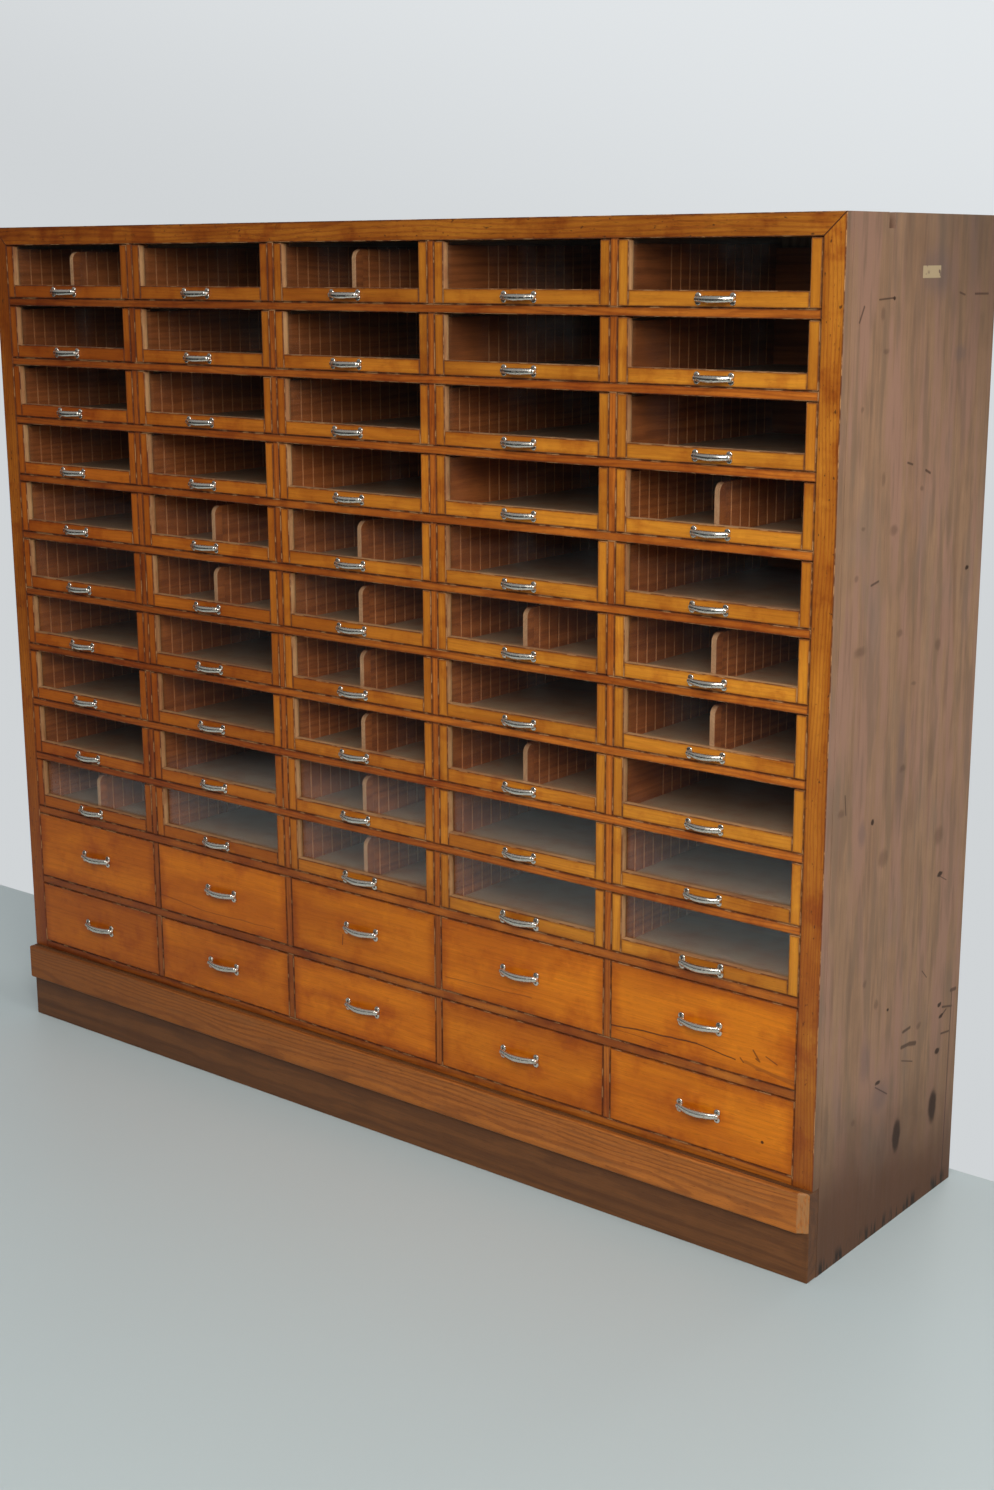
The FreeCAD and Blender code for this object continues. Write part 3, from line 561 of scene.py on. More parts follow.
def side_marks(finish, tint):
    """Streaks, stains and painted shade; on the right-hand side knots, scratches and a scrap of
    paper.
    """
    x, y, z = finish.parts(finish.place())
    behind = y - FACE
    on_right = x > RIGHT - 0.004
    for low, high, across, up, strength, hue in SIDE_STREAKS:
        field = finish.noise(finish.scaled(finish.place(), (3.0, across, up)), 1.0, 3.0, 0.6)
        tint = finish.mix(finish.step(field, low, high) * strength, tint, hue)
    # Painted shade: darker towards the bottom and the top.
    tint = finish.shade(tint, finish.step(z, -0.15, 0.45, 0.46, 0.82)
                        * finish.step(z, 1.45, TOP, 1.0, 0.84))
    # Painted shade: darker towards the top rear corner.
    shaded_top_corner = finish.step(z, 1.15, 1.7) * finish.step(behind, 0.14, 0.48)
    tint = finish.shade(tint, 1 - shaded_top_corner * 0.33)
    ragged = finish.noise(finish.place(), 6.0, 4.0) * 0.22
    damp = finish.step(z + behind * 0.22 + ragged, 0.20, 0.46, 1.0, 0.0)
    tint = finish.mix(damp * 0.85, tint, DAMP_WOOD)
    wobble = finish.noise(finish.place(), 60.0, 2.0) * 0.008 - 0.004
    across, up = behind + wobble, z + wobble
    for places, blur, strength, hue in ((MAUVE_STAINS, 0.6, 0.42, MAUVE),
                                        (BROWN_KNOTS, 0.5, 0.45, BROWN),
                                        (DARK_KNOTS, 0.3, 0.94, DARK_KNOT)):
        there = spots(finish, across, up, places, blur)
        tint = finish.mix(there * on_right * strength, tint, hue)
    near, far, low, high = PAPER
    paper = band(finish, behind, near, far, 0.0005) * band(finish, z, low, high, 0.0004)
    torn = finish.step(finish.noise(finish.place(), 42.0, 2.0), 0.36, 0.42)
    tint = finish.mix(paper * torn * on_right * 0.9, tint, OLD_PAPER)
    scratches = lines(finish, behind, z, SIDE_SCRATCHES)
    tint = finish.mix(scratches * on_right * 0.7, tint, SCRATCHED)
    splits = finish.noise(finish.scaled(finish.place(), (90.0, 70.0, 9.0)), 1.0, 2.0, 0.7)
    chip = finish.step(splits, 0.50, 0.58) * finish.step(z, 0.010, 0.034, 1.0, 0.0)
    return finish.mix(chip * 0.9, tint, CHIPPED)


def drawer_marks(finish, tint):
    """A crack, scratches and a nail hole on some wooden fronts, and a smudge round each handle."""
    x, _, z = finish.parts(finish.place())
    bend = finish.noise(finish.joined(x * 16.0, 0.0, 0.0), 1.0, 3.0) * 0.008 - 0.004
    crack = lines(finish, x, z + bend, LONG_CRACK)
    tint = finish.mix(crack * (x > 0.598) * 0.85, tint, OPEN_JOINT)
    faint = lines(finish, x, z + bend, FAINT_CRACKS)
    tint = finish.mix(faint * 0.42, tint, (0.09, 0.020, 0.007))
    scratches = lines(finish, x, z, FRONT_SCRATCHES)
    tint = finish.mix(scratches * 0.7, tint, (0.06, 0.014, 0.006))
    hole = finish.ellipse(x, z, NAIL_HOLE, NAIL_RADII)
    tint = finish.mix(hole * 0.9, tint, (0.03, 0.008, 0.004))
    beside, _, up = finish.parts(finish.attribute("place"))
    smudge = finish.ellipse(beside, up, (0.0, 0.004), (0.062, 0.026), 0.6)
    smudge = smudge * finish.step(finish.noise(finish.place(), 30.0, 3.0), 0.3, 0.7)
    return finish.mix(smudge * 0.7, tint, finish.tinted(tint, (0.68, 0.42, 0.32)))


def rows_shaded_top_and_bottom(finish, tint):
    """Painted shade: the lowest and the topmost rows are darker than those between."""
    z = finish.parts(finish.place())[2]
    return finish.shade(tint, finish.step(z, 0.45, 0.62, 0.86, 1.0)
                        * finish.step(z, 1.3, 1.65, 1.0, 0.80))


def frame_marks(finish, tint):
    """Dark lines where the stiles and the top rail are mitred."""
    x, _, z = finish.parts(finish.place())
    size = sizes()
    for side in (-1, 1):
        inner = (side * (RIGHT - size.stile), TOP - size.top_rail)
        line = finish.stroke(x, z, (side * RIGHT, TOP), inner, 0.0016)
        tint = finish.mix(line * 0.85, tint, OPEN_JOINT)
    return tint


def moulding_marks(finish, tint):
    """Grey wear, painted shade darker towards the left end, and torn fibres where the corner has
    broken off.
    """
    x = finish.parts(finish.place())[0]
    grey = finish.step(finish.noise(finish.scaled(finish.place(), (5.0, 30.0, 60.0)), 1.0, 4.0),
                       0.5, 0.68)
    tint = finish.mix(grey * 0.45, tint, (0.30, 0.110, 0.026))
    # Painted shade: darker towards the left end.
    shade = finish.step(x, LEFT, RIGHT - 0.3, 1.0, 0.0)
    tint = finish.mix(shade * 0.55, tint, (0.125, 0.038, 0.010))
    torn = finish.step(x, RIGHT - 0.018, RIGHT - 0.0165)
    splinters = finish.noise(finish.scaled(finish.place(), (400.0, 400.0, 60.0)), 1.0, 3.0)
    return finish.mix(torn * finish.step(splinters, 0.3, 0.6), tint, (0.33, 0.150, 0.050))


# Finishes that several pieces share

@functools.cache
def finishes():
    """Every material of the cabinet by its name, made once."""
    hue = colours()
    return {
        "drawer_front": varnished("drawer_front", hue.drawer_light, hue.drawer_dark, 0.18, 0.95,
                                  0.3, marks=drawer_marks, ring=0.009, broad=0.026, mottle=0.6,
                                  aged_and_shaded=((0.86, 0.82, 0.7), (1.0, 1.04, 0.9))),
        "glazed_front": varnished("glazed_front", hue.glazed_light, hue.drawer_dark, 0.3, 0.8,
                                  0.25, broad=0.007, aged_and_shaded=((0.78, 0.69, 0.7), (1.12, 1.56, 2.0)),
                                  marks=rows_shaded_top_and_bottom),
        "front_edge": varnished("front_edge", (0.50, 0.27, 0.12), (0.36, 0.16, 0.06), 0.3, 0.2),
        "frame_wood": varnished("frame_wood", hue.frame_light, hue.frame_dark, 0.5, 0.45, 0.5,
                                red_and_shade=0.4, specks=0.8, marks=frame_marks, mottle=0.9,
                                aged_and_shaded=((0.92, 0.92, 0.8), (0.98, 1.20, 1.2))),
        "rail_wood": varnished("rail_wood", hue.rail_light, hue.rail_dark, 0.5, 0.6, 0.4,
                               aged_and_shaded=((0.70, 0.66, 0.6), (1.08, 1.26, 1.1)), marks=rows_shaded_top_and_bottom),
        "inside_wood": plain_wood("inside_wood", hue.inside_light, hue.inside_dark, figure=0.4,
                                  ring=0.014, grime=0.3, marks=shade_painted_above),
        "slot_wood": plain_wood("slot_wood", hue.slot_wood, hue.inside_light, figure=0.2, grime=0.0,
                                marks=shade_painted_above),
        "dusty_panel": plain_wood("dusty_panel", hue.inside_light, hue.inside_dark, dust=hue.dust,
                                  marks=shade_painted_above),
        "divider_edge": plain_wood("divider_edge", (0.52, 0.27, 0.14), (0.36, 0.17, 0.08),
                                   figure=0.3, grime=0.2),
        "side_pine": plain_wood("side_pine", hue.side_light, hue.side_dark, along=2, figure=0.12,
                                ring=0.03, streaks=0.4, pores=0.12, marks=side_marks, rough=0.6),
        "moulding_oak": plain_wood("moulding_oak", hue.moulding_light, hue.moulding_dark,
                                   figure=0.5, ring=0.006, pores=0.7, marks=moulding_marks,
                                   rough=0.55),
        "plinth_wood": plain_wood("plinth_wood", hue.plinth_light, hue.plinth_dark, figure=0.4,
                                  ring=0.02, streaks=0.6, rough=0.5),
        "raw_across": plain_wood("raw_across", hue.raw_light, hue.raw_dark, along=0),
        "raw_deep": plain_wood("raw_deep", hue.raw_light, hue.raw_dark, along=1),
        "raw_board": plain_wood("raw_board", hue.raw_light, hue.raw_dark, ring=0.012),
        "nickel": worn_nickel(hue.nickel),
        "screw_steel": dark_steel(),
        "glass_pane": clear_pane(),
    }


def worn_nickel(hue):
    """Nickel plate, yellowed and dulled in spots."""
    finish = Finish("nickel")
    spot = finish.place()
    worn = finish.step(finish.noise(spot, 170.0, 4.0), 0.5, 0.7)
    fine = finish.noise(spot, 900.0, 2.0)
    tint = finish.mix(worn * 0.5, hue, (0.40, 0.32, 0.22))
    tint = finish.mix(finish.step(fine, 0.55, 0.75) * 0.25, tint, (0.16, 0.13, 0.10))
    return finish.surface({"Base Color": tint, "Metallic": 1.0 - worn * 0.1,
                           "Roughness": worn * 0.2 + fine * 0.08 + 0.16,
                           "Normal": finish.bump(fine + worn * 0.4, 0.06, 0.0004)})


def dark_steel():
    """Steel screws with some rust."""
    finish = Finish("screw_steel")
    rust = finish.step(finish.noise(finish.place(), 700.0, 3.0), 0.42, 0.62)
    tint = finish.mix(rust, (0.14, 0.13, 0.12), (0.07, 0.035, 0.02))
    return finish.surface({"Base Color": tint, "Metallic": 0.9 - rust * 0.6,
                           "Roughness": rust * 0.3 + 0.35,
                           "Normal": finish.bump(rust, 0.2, 0.0003)})


def clear_pane():
    """Thin glass: what lies behind shows through, under the room's reflection and some dust."""
    finish = Finish("glass_pane")
    haze = finish.noise(finish.scaled(finish.place(), (9.0, 9.0, 3.5)), 1.0, 4.0)
    gleam = finish.node("BsdfPrincipled", None, {
        "Base Color": (0.35, 0.38, 0.37, 1.0), "Metallic": 0.0, "Specular IOR Level": 0.5,
        "Roughness": haze * 0.05 + 0.04})
    mirror = finish.node("BsdfGlossy", None, {"Color": (1.0, 1.0, 1.0, 1.0), "Roughness": 0.04})
    through = finish.node("BsdfTransparent", None, {"Color": (0.97, 0.985, 0.975, 1.0)})
    grazing = finish.out(finish.node("LayerWeight"), "Facing")
    facing = finish.maths("POWER", grazing, 5.0) * 0.95 + 0.048
    clean = finish.blend(facing, finish.out(through), finish.out(mirror))
    dusty = finish.step(haze, 0.45, 0.85) * 0.016
    return finish.show(finish.blend(dusty, clean, finish.out(gleam)))


# Boards

def shown(name, mesh, body, stands_for=()):
    """Puts a finished mesh on its body, in place of the CAD nodes that it stands for."""
    piece = bpy.data.objects.new(name, mesh)
    bpy.context.scene.collection.objects.link(piece)
    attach(piece, body)
    if stands_for:
        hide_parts(*stands_for)
    return piece


def rectangle(low, high, cut=0.0):
    """A rectangle's corners, each cut off if cut is given."""
    if not cut:
        return [(low[0], low[1]), (high[0], low[1]), (high[0], high[1]), (low[0], high[1])]
    return [(low[0] + cut, low[1]), (high[0] - cut, low[1]), (high[0], low[1] + cut),
            (high[0], high[1] - cut), (high[0] - cut, high[1]), (low[0] + cut, high[1]),
            (low[0], high[1] - cut), (low[0], low[1] + cut)]


def inset(outline, distance):
    """An outline moved inwards; it runs counterclockwise."""
    count = len(outline)
    moved = []
    for i, here in enumerate(outline):
        before = (here - outline[i - 1]).normalized()
        after = (outline[(i + 1) % count] - here).normalized()
        one, other = Vector((-before.y, before.x)), Vector((-after.y, after.x))
        moved.append(here + (one + other) * (distance / max(1 + one.dot(other), 0.2)))
    return moved


def skin(loops, count):
    """The faces of a closed skin over loops of count points each, laid one after another."""
    faces = [list(range(count))[::-1]]
    for k in range(loops - 1):
        for i in range(count):
            j = (i + 1) % count
            faces.append([k * count + i, k * count + j, (k + 1) * count + j, (k + 1) * count + i])
    faces.append([(loops - 1) * count + i for i in range(count)])
    return faces


# A drawer box's materials, by their place in its mesh
WALL, SLOT, PANEL, NOSE = range(4)

# How far behind a wall's inner face the faces of its slots lie
SHALLOW_SLOT, DEEP_SLOT = 0.0003, 0.0035

# Softened edges that are narrower than those of the case: drawer walls, thin panels and panes
FINE_ARRIS, THIN_ARRIS = 0.0005, 0.0003

# Ranges of tone of the frame's left and right stiles and of its top rail; painted shade and light
# make the left stile and the top rail darker and the right stile paler
LEFT_SHADED_TONE, RIGHT_LIT_TONE, TOP_SHADED_TONE = (-0.14, -0.12), (0.04, 0.06), (-0.10, -0.08)


def slot_faces(*walls, near=-math.inf):
    """A test for the faces of slots behind near, in walls given by (X of the inner face, side)."""
    def kind(at, normal):
        upright = abs(normal[2]) < 0.5 and at[1] > near
        inside = any(SHALLOW_SLOT < (inner - at[0]) * side < DEEP_SLOT for inner, side in walls)
        return SLOT if upright and inside else None
    return kind


class Joinery:
    """Boards that become one mesh. Each keeps its own grain, tone, and distance to its arrises."""

    def __init__(self, seed):
        self.chance = random.Random(seed)
        self.points, self.faces, self.kinds = [], [], []
        self.grain, self.place, self.half, self.tone = [], [], [], []

    def prism(self, outline, axis, low, high, grain, arris=None, kind=0, special=None,
              tone=0.07):
        """A board whose outline, in the two other axes, runs from low to high along axis.

        grain is the axis of its grain. kind is the material of its faces, and special, given a
        face's middle and normal, the one of faces that differ. tone is a range of darkness.
        """
        arris = sizes().arris if arris is None else arris
        first, second = (axis + 1) % 3, (axis + 2) % 3
        ring = [Vector(p) if first < second else Vector((p[1], p[0])) for p in outline]
        area = sum(a.x * b.y - b.x * a.y for a, b in zip(ring, ring[1:] + ring[:1]))
        if area < 0:
            ring.reverse()
        levels = [(low, ring), (high, ring)]
        if arris:
            small = inset(ring, arris)
            levels = [(low, small), (low + arris, ring), (high - arris, ring), (high, small)]
        made = []
        for level, loop in levels:
            for p in loop:
                point = [0.0, 0.0, 0.0]
                point[axis], point[first], point[second] = level, p.x, p.y
                made.append(point)
        self.add(made, skin(len(levels), len(ring)), grain, kind, special, tone)

    def add(self, made, faces, grain, kind, special, tone):
        base = len(self.points)
        made = np.array(made)
        lowest, highest = made.min(0), made.max(0)
        middle, half = (lowest + highest) / 2, (highest - lowest) / 2
        order = [grain, (grain + 1) % 3, (grain + 2) % 3]
        turn = self.chance.uniform(0, math.tau)
        pith = self.chance.uniform(0.05, 0.16)
        shift = np.array([self.chance.uniform(0, 9), pith * math.cos(turn), pith * math.sin(turn)])
        shade = self.chance.uniform(*(tone if isinstance(tone, tuple) else (-tone, tone)))
        self.points += made.tolist()
        self.grain.append((made - middle)[:, order] + shift)
        self.place.append(made - middle)
        self.half.append(np.repeat(half[None], len(made), 0))
        self.tone += [shade] * len(made)
        for face in faces:
            if special:
                corners = made[face]
                normal = np.cross(corners[1] - corners[0], corners[2] - corners[1])
                normal = normal / max(np.linalg.norm(normal), 1e-12)
                found = special(corners.mean(0), normal)
                self.kinds.append(kind if found is None else found)
            else:
                self.kinds.append(kind)
            self.faces.append([base + i for i in face])

    def board(self, low, high, grain, **settings):
        """A rectangular board between two corners."""
        others = [a for a in range(3) if a != grain]
        cut = settings.get("arris", sizes().arris)
        corners = rectangle([low[a] for a in others], [high[a] for a in others], cut)
        self.prism(corners, grain, low[grain], high[grain], grain, **settings)

    def mesh(self, name, *materials):
        mesh = bpy.data.meshes.new(name)
        mesh.from_pydata(self.points, [], self.faces)
        for label, rows in (("grain", self.grain), ("place", self.place), ("half", self.half)):
            layer = mesh.attributes.new(label, "FLOAT_VECTOR", "POINT")
            layer.data.foreach_set("vector", np.concatenate(rows).astype(np.float32).ravel())
        layer = mesh.attributes.new("tone", "FLOAT", "POINT")
        layer.data.foreach_set("value", np.array(self.tone, np.float32))
        for material in materials:
            mesh.materials.append(material)
        mesh.polygons.foreach_set("material_index", self.kinds)
        mesh.update()
        return mesh


# The grid of openings

def rows():
    """(floor, height, rail below) of each row's opening, from row 12 up to row 1."""
    size = sizes()
    found, floor = {}, PLINTH_TOP + size.bottom_rail
    for row in range(ROWS, 0, -1):
        height = (size.lower_opening if row == ROWS else
                  size.upper_opening if row == ROWS - 1 else size.glass_opening)
        rail = size.wood_rail if row >= GLASS_ROWS else size.glass_rail
        found[row] = (floor, height, None if row == ROWS else rail)
        above = size.wood_rail if row > GLASS_ROWS else size.glass_rail
        floor += height + above
    return found


def opening_left(column):
    """X of the left side of a column's openings."""
    size = sizes()
    return LEFT + size.stile + (size.opening_width + size.muntin) * (column - 1)


# Geometry nodes

def node_group(name, inputs):
    """An empty geometry node group and its nodes for the ends."""
    group = bpy.data.node_groups.new(name, "GeometryNodeTree")
    group.interface.new_socket("Geometry", in_out="INPUT", socket_type="NodeSocketGeometry")
    for label, kind in inputs:
        group.interface.new_socket(label, in_out="INPUT", socket_type=kind)
    group.interface.new_socket("Geometry", in_out="OUTPUT", socket_type="NodeSocketGeometry")
    return group, group.nodes.new("NodeGroupInput"), group.nodes.new("NodeGroupOutput")


def copies_on_points():
    """A copy of a part on every point, each with its own turn about Y and cut of the log."""
    if "copies_on_points" in bpy.data.node_groups:
        return bpy.data.node_groups["copies_on_points"]
    group, start, end = node_group("copies_on_points", (
        ("Part", "NodeSocketObject"), ("Turn", "NodeSocketFloat"), ("Cut", "NodeSocketFloat"),
        ("Seed", "NodeSocketInt"), ("Finish", "NodeSocketMaterial")))
    given = start.outputs
    # A Random Value node takes vectors at 0 and 1 and numbers at 2 and 3, and gives them at 0 and 1
    part = add_node(group, "GeometryNodeObjectInfo", None, {"Object": given["Part"]})
    turn = add_node(group, "FunctionNodeRandomValue", None, {3: given["Turn"],
                                                             "Seed": given["Seed"]})
    about_y = add_node(group, "ShaderNodeCombineXYZ", None, {"Y": turn.outputs[1]})
    placed = add_node(group, "GeometryNodeInstanceOnPoints", None, {
        "Points": given["Geometry"], "Instance": part.outputs["Geometry"],
        "Rotation": about_y.outputs[0]})
    minus = add_node(group, "ShaderNodeMath", {"operation": "MULTIPLY"},
                     {0: given["Cut"], 1: -1.0})
    cut = add_node(group, "FunctionNodeRandomValue", {"data_type": "FLOAT_VECTOR"},
                   {0: minus.outputs[0], 1: given["Cut"], "Seed": given["Seed"]})
    stored = add_node(group, "GeometryNodeStoreNamedAttribute",
                      {"data_type": "FLOAT_VECTOR", "domain": "INSTANCE"},
                      {"Geometry": placed.outputs[0], "Name": "cut", "Value": cut.outputs[0]})
    realized = add_node(group, "GeometryNodeRealizeInstances", None, {0: stored.outputs[0]})
    painted = add_node(group, "GeometryNodeSetMaterial", None, {
        "Geometry": realized.outputs[0], "Material": given["Finish"]})
    group.links.new(painted.outputs[0], end.inputs[0])
    return group


def copies(name, part_mesh, points, finish, turn=0.0, cut=0.0, seed=1):
    """A plain mesh of a part repeated at points by the node group.

    Each copy has a turn about Y from 0 to turn, and is cut from the log up to cut away.
    """
    group = copies_on_points()
    part = bpy.data.objects.new(name + "_part", part_mesh)
    cloud = bpy.data.meshes.new(name + "_points")
    cloud.from_pydata([tuple(p) for p in points], [], [])
    carrier = bpy.data.objects.new(name + "_carrier", cloud)
    for item in (part, carrier):
        bpy.context.scene.collection.objects.link(item)
    modifier = carrier.modifiers.new("copies", "NODES")
    modifier.node_group = group
    keys = {item.name: item.identifier for item in group.interface.items_tree
            if item.item_type == "SOCKET" and item.in_out == "INPUT"}
    for label, value in (("Part", part), ("Turn", turn), ("Cut", cut), ("Seed", seed),
                         ("Finish", finish)):
        modifier[keys[label]] = value
    bpy.context.view_layer.update()
    graph = bpy.context.evaluated_depsgraph_get()
    mesh = bpy.data.meshes.new_from_object(carrier.evaluated_get(graph),
                                           preserve_all_data_layers=True, depsgraph=graph)
    mesh.name = name
    bpy.data.objects.remove(carrier)
    bpy.data.objects.remove(part)
    return mesh


# Handles

def stack(loops):
    """Loops of equal length joined into one closed skin."""
    return [point for loop in loops for point in loop], skin(len(loops), len(loops[0]))


def circle(radius, sides, oval=1.0):
    """Points round a circle as (across, up), up stretched by oval."""
    turns = [math.tau * i / sides for i in range(sides)]
    return [(radius * math.cos(turn), radius * oval * math.sin(turn)) for turn in turns]


def foot_outline(offset, scale):
    """The rim of a foot: two lobes and the web between them, in X and Z."""
    size = sizes()
    radius = size.lobe_radius * scale
    start = math.asin(size.foot_web / 2 / size.lobe_radius)
    rim, steps = [], 10
    for side in (1, -1):
        for i in range(steps + 1):
            turn = (-math.pi / 2 + start) + (math.tau - 2 * start) * i / steps
            rim.append(Vector((math.cos(turn) * radius * side,
                               (math.sin(turn) * radius + offset) * side)))
    return rim


# Half of a large handle's bow to its middle, as (X, Y, Z, radius), and its end without the X
BOW_END = (-0.0052, 0.0, 0.0045)
BOW = ((-0.0305, -0.0086, -0.0002, 0.0044), (-0.0235, -0.0112, -0.0004, 0.0045),
       (-0.012, -0.0141, -0.0006, 0.0048), (0.0, -0.0149, -0.0008, 0.0050))
BOW_SIDES, BOW_OVAL = 14, 1.3

# The rim of a foot as (share of its thickness, how far in), and its boss as (depth, radius)
FOOT_LEVELS = ((0.0, 0.0), (0.6, 0.0), (0.88, 0.0004), (1.0, 0.0011))
BOSS_LEVELS = ((0.0021, 0.0060), (0.0030, 0.0055), (0.0055, 0.0051), (0.0075, 0.0047),
               (0.0085, 0.0038), (0.0090, 0.0020))


def rounded(known, steps=3):
    """Stations on a smooth curve through known ones, steps from each to the next."""
    known = [Vector(station) for station in known]
    stations = []
    for i in range(len(known) - 1):
        before, here = known[max(0, i - 1)], known[i]
        there, after = known[i + 1], known[min(len(known) - 1, i + 2)]
        for step in (k / steps for k in range(steps)):
            stations.append(here + (there - before) * (step / 2)
                            + (before * 2 - here * 5 + there * 4 - after) * (step ** 2 / 2)
                            + (here * 3 - before - there * 3 + after) * (step ** 3 / 2))
    return stations + [known[-1]]


def handle_parts(small):
    """The skins of one bow handle from the middle between its feet, and its screws' places.

    A small handle is shorter but nearly as stout.
    """
    size = sizes()
    scale = size.small_handle if small else 1.0
    stout = (1 + scale) / 2
    offset = size.small_lobe_offset if small else size.lobe_offset
    half = size.handle_span * scale / 2
    near = [(-size.handle_span / 2, *BOW_END), *BOW]
    whole = near + [(-x, y, z, radius) for x, y, z, radius in near[-2::-1]]
    whole = [(x * scale, y * stout, z * stout, radius * stout) for x, y, z, radius in whole]
    bow = [[(x, y + deep, z + up) for deep, up in circle(radius, BOW_SIDES, BOW_OVAL)]
           for x, y, z, radius in rounded(whole)]
    shells = [stack(bow)]
    rim = foot_outline(offset, stout)
    thick = size.foot_thickness * stout
    for side in (-half, half):
        foot = [[(side + p.x, -share * thick, p.y) for p in inset(rim, away)]
                for share, away in FOOT_LEVELS]
        boss = [[(side + across, -depth * stout, up)
                 for across, up in circle(radius * stout, BOW_SIDES)]
                for depth, radius in BOSS_LEVELS]
        shells += [stack(foot), stack(boss)]
    screws = [(side, -thick, up) for side in (-half, half) for up in (-offset, offset)]
    return shells, screws


def screw_head():
    """A low domed head with a slot, facing -Y, as its own small mesh."""
    size = sizes()
    radius, high = size.screw_head, size.screw_height
    profile = ((radius, 0.0), (radius, high * 0.45), (radius * 0.82, high * 0.85),
               (radius * 0.5, high))
    dome = [[(across, -level, up) for across, up in circle(wide, BOW_SIDES)]
            for wide, level in profile]
    points, faces = stack(dome)
    faces = faces[1:]
    base, slot, end = len(points), radius * 0.16, radius * 0.8
    points += [(x, y, z) for x in (-end, end) for z in (-slot, slot)
               for y in (-high * 0.4, -high * 1.04)]
    faces += [[base + i for i in corners] for corners in (
        (1, 3, 7, 5), (0, 1, 5, 4), (2, 6, 7, 3), (0, 2, 3, 1), (4, 5, 7, 6))]
    mesh = bpy.data.meshes.new("screw_head")
    mesh.from_pydata(points, [], faces)
    mesh.update()
    return mesh


# Operators

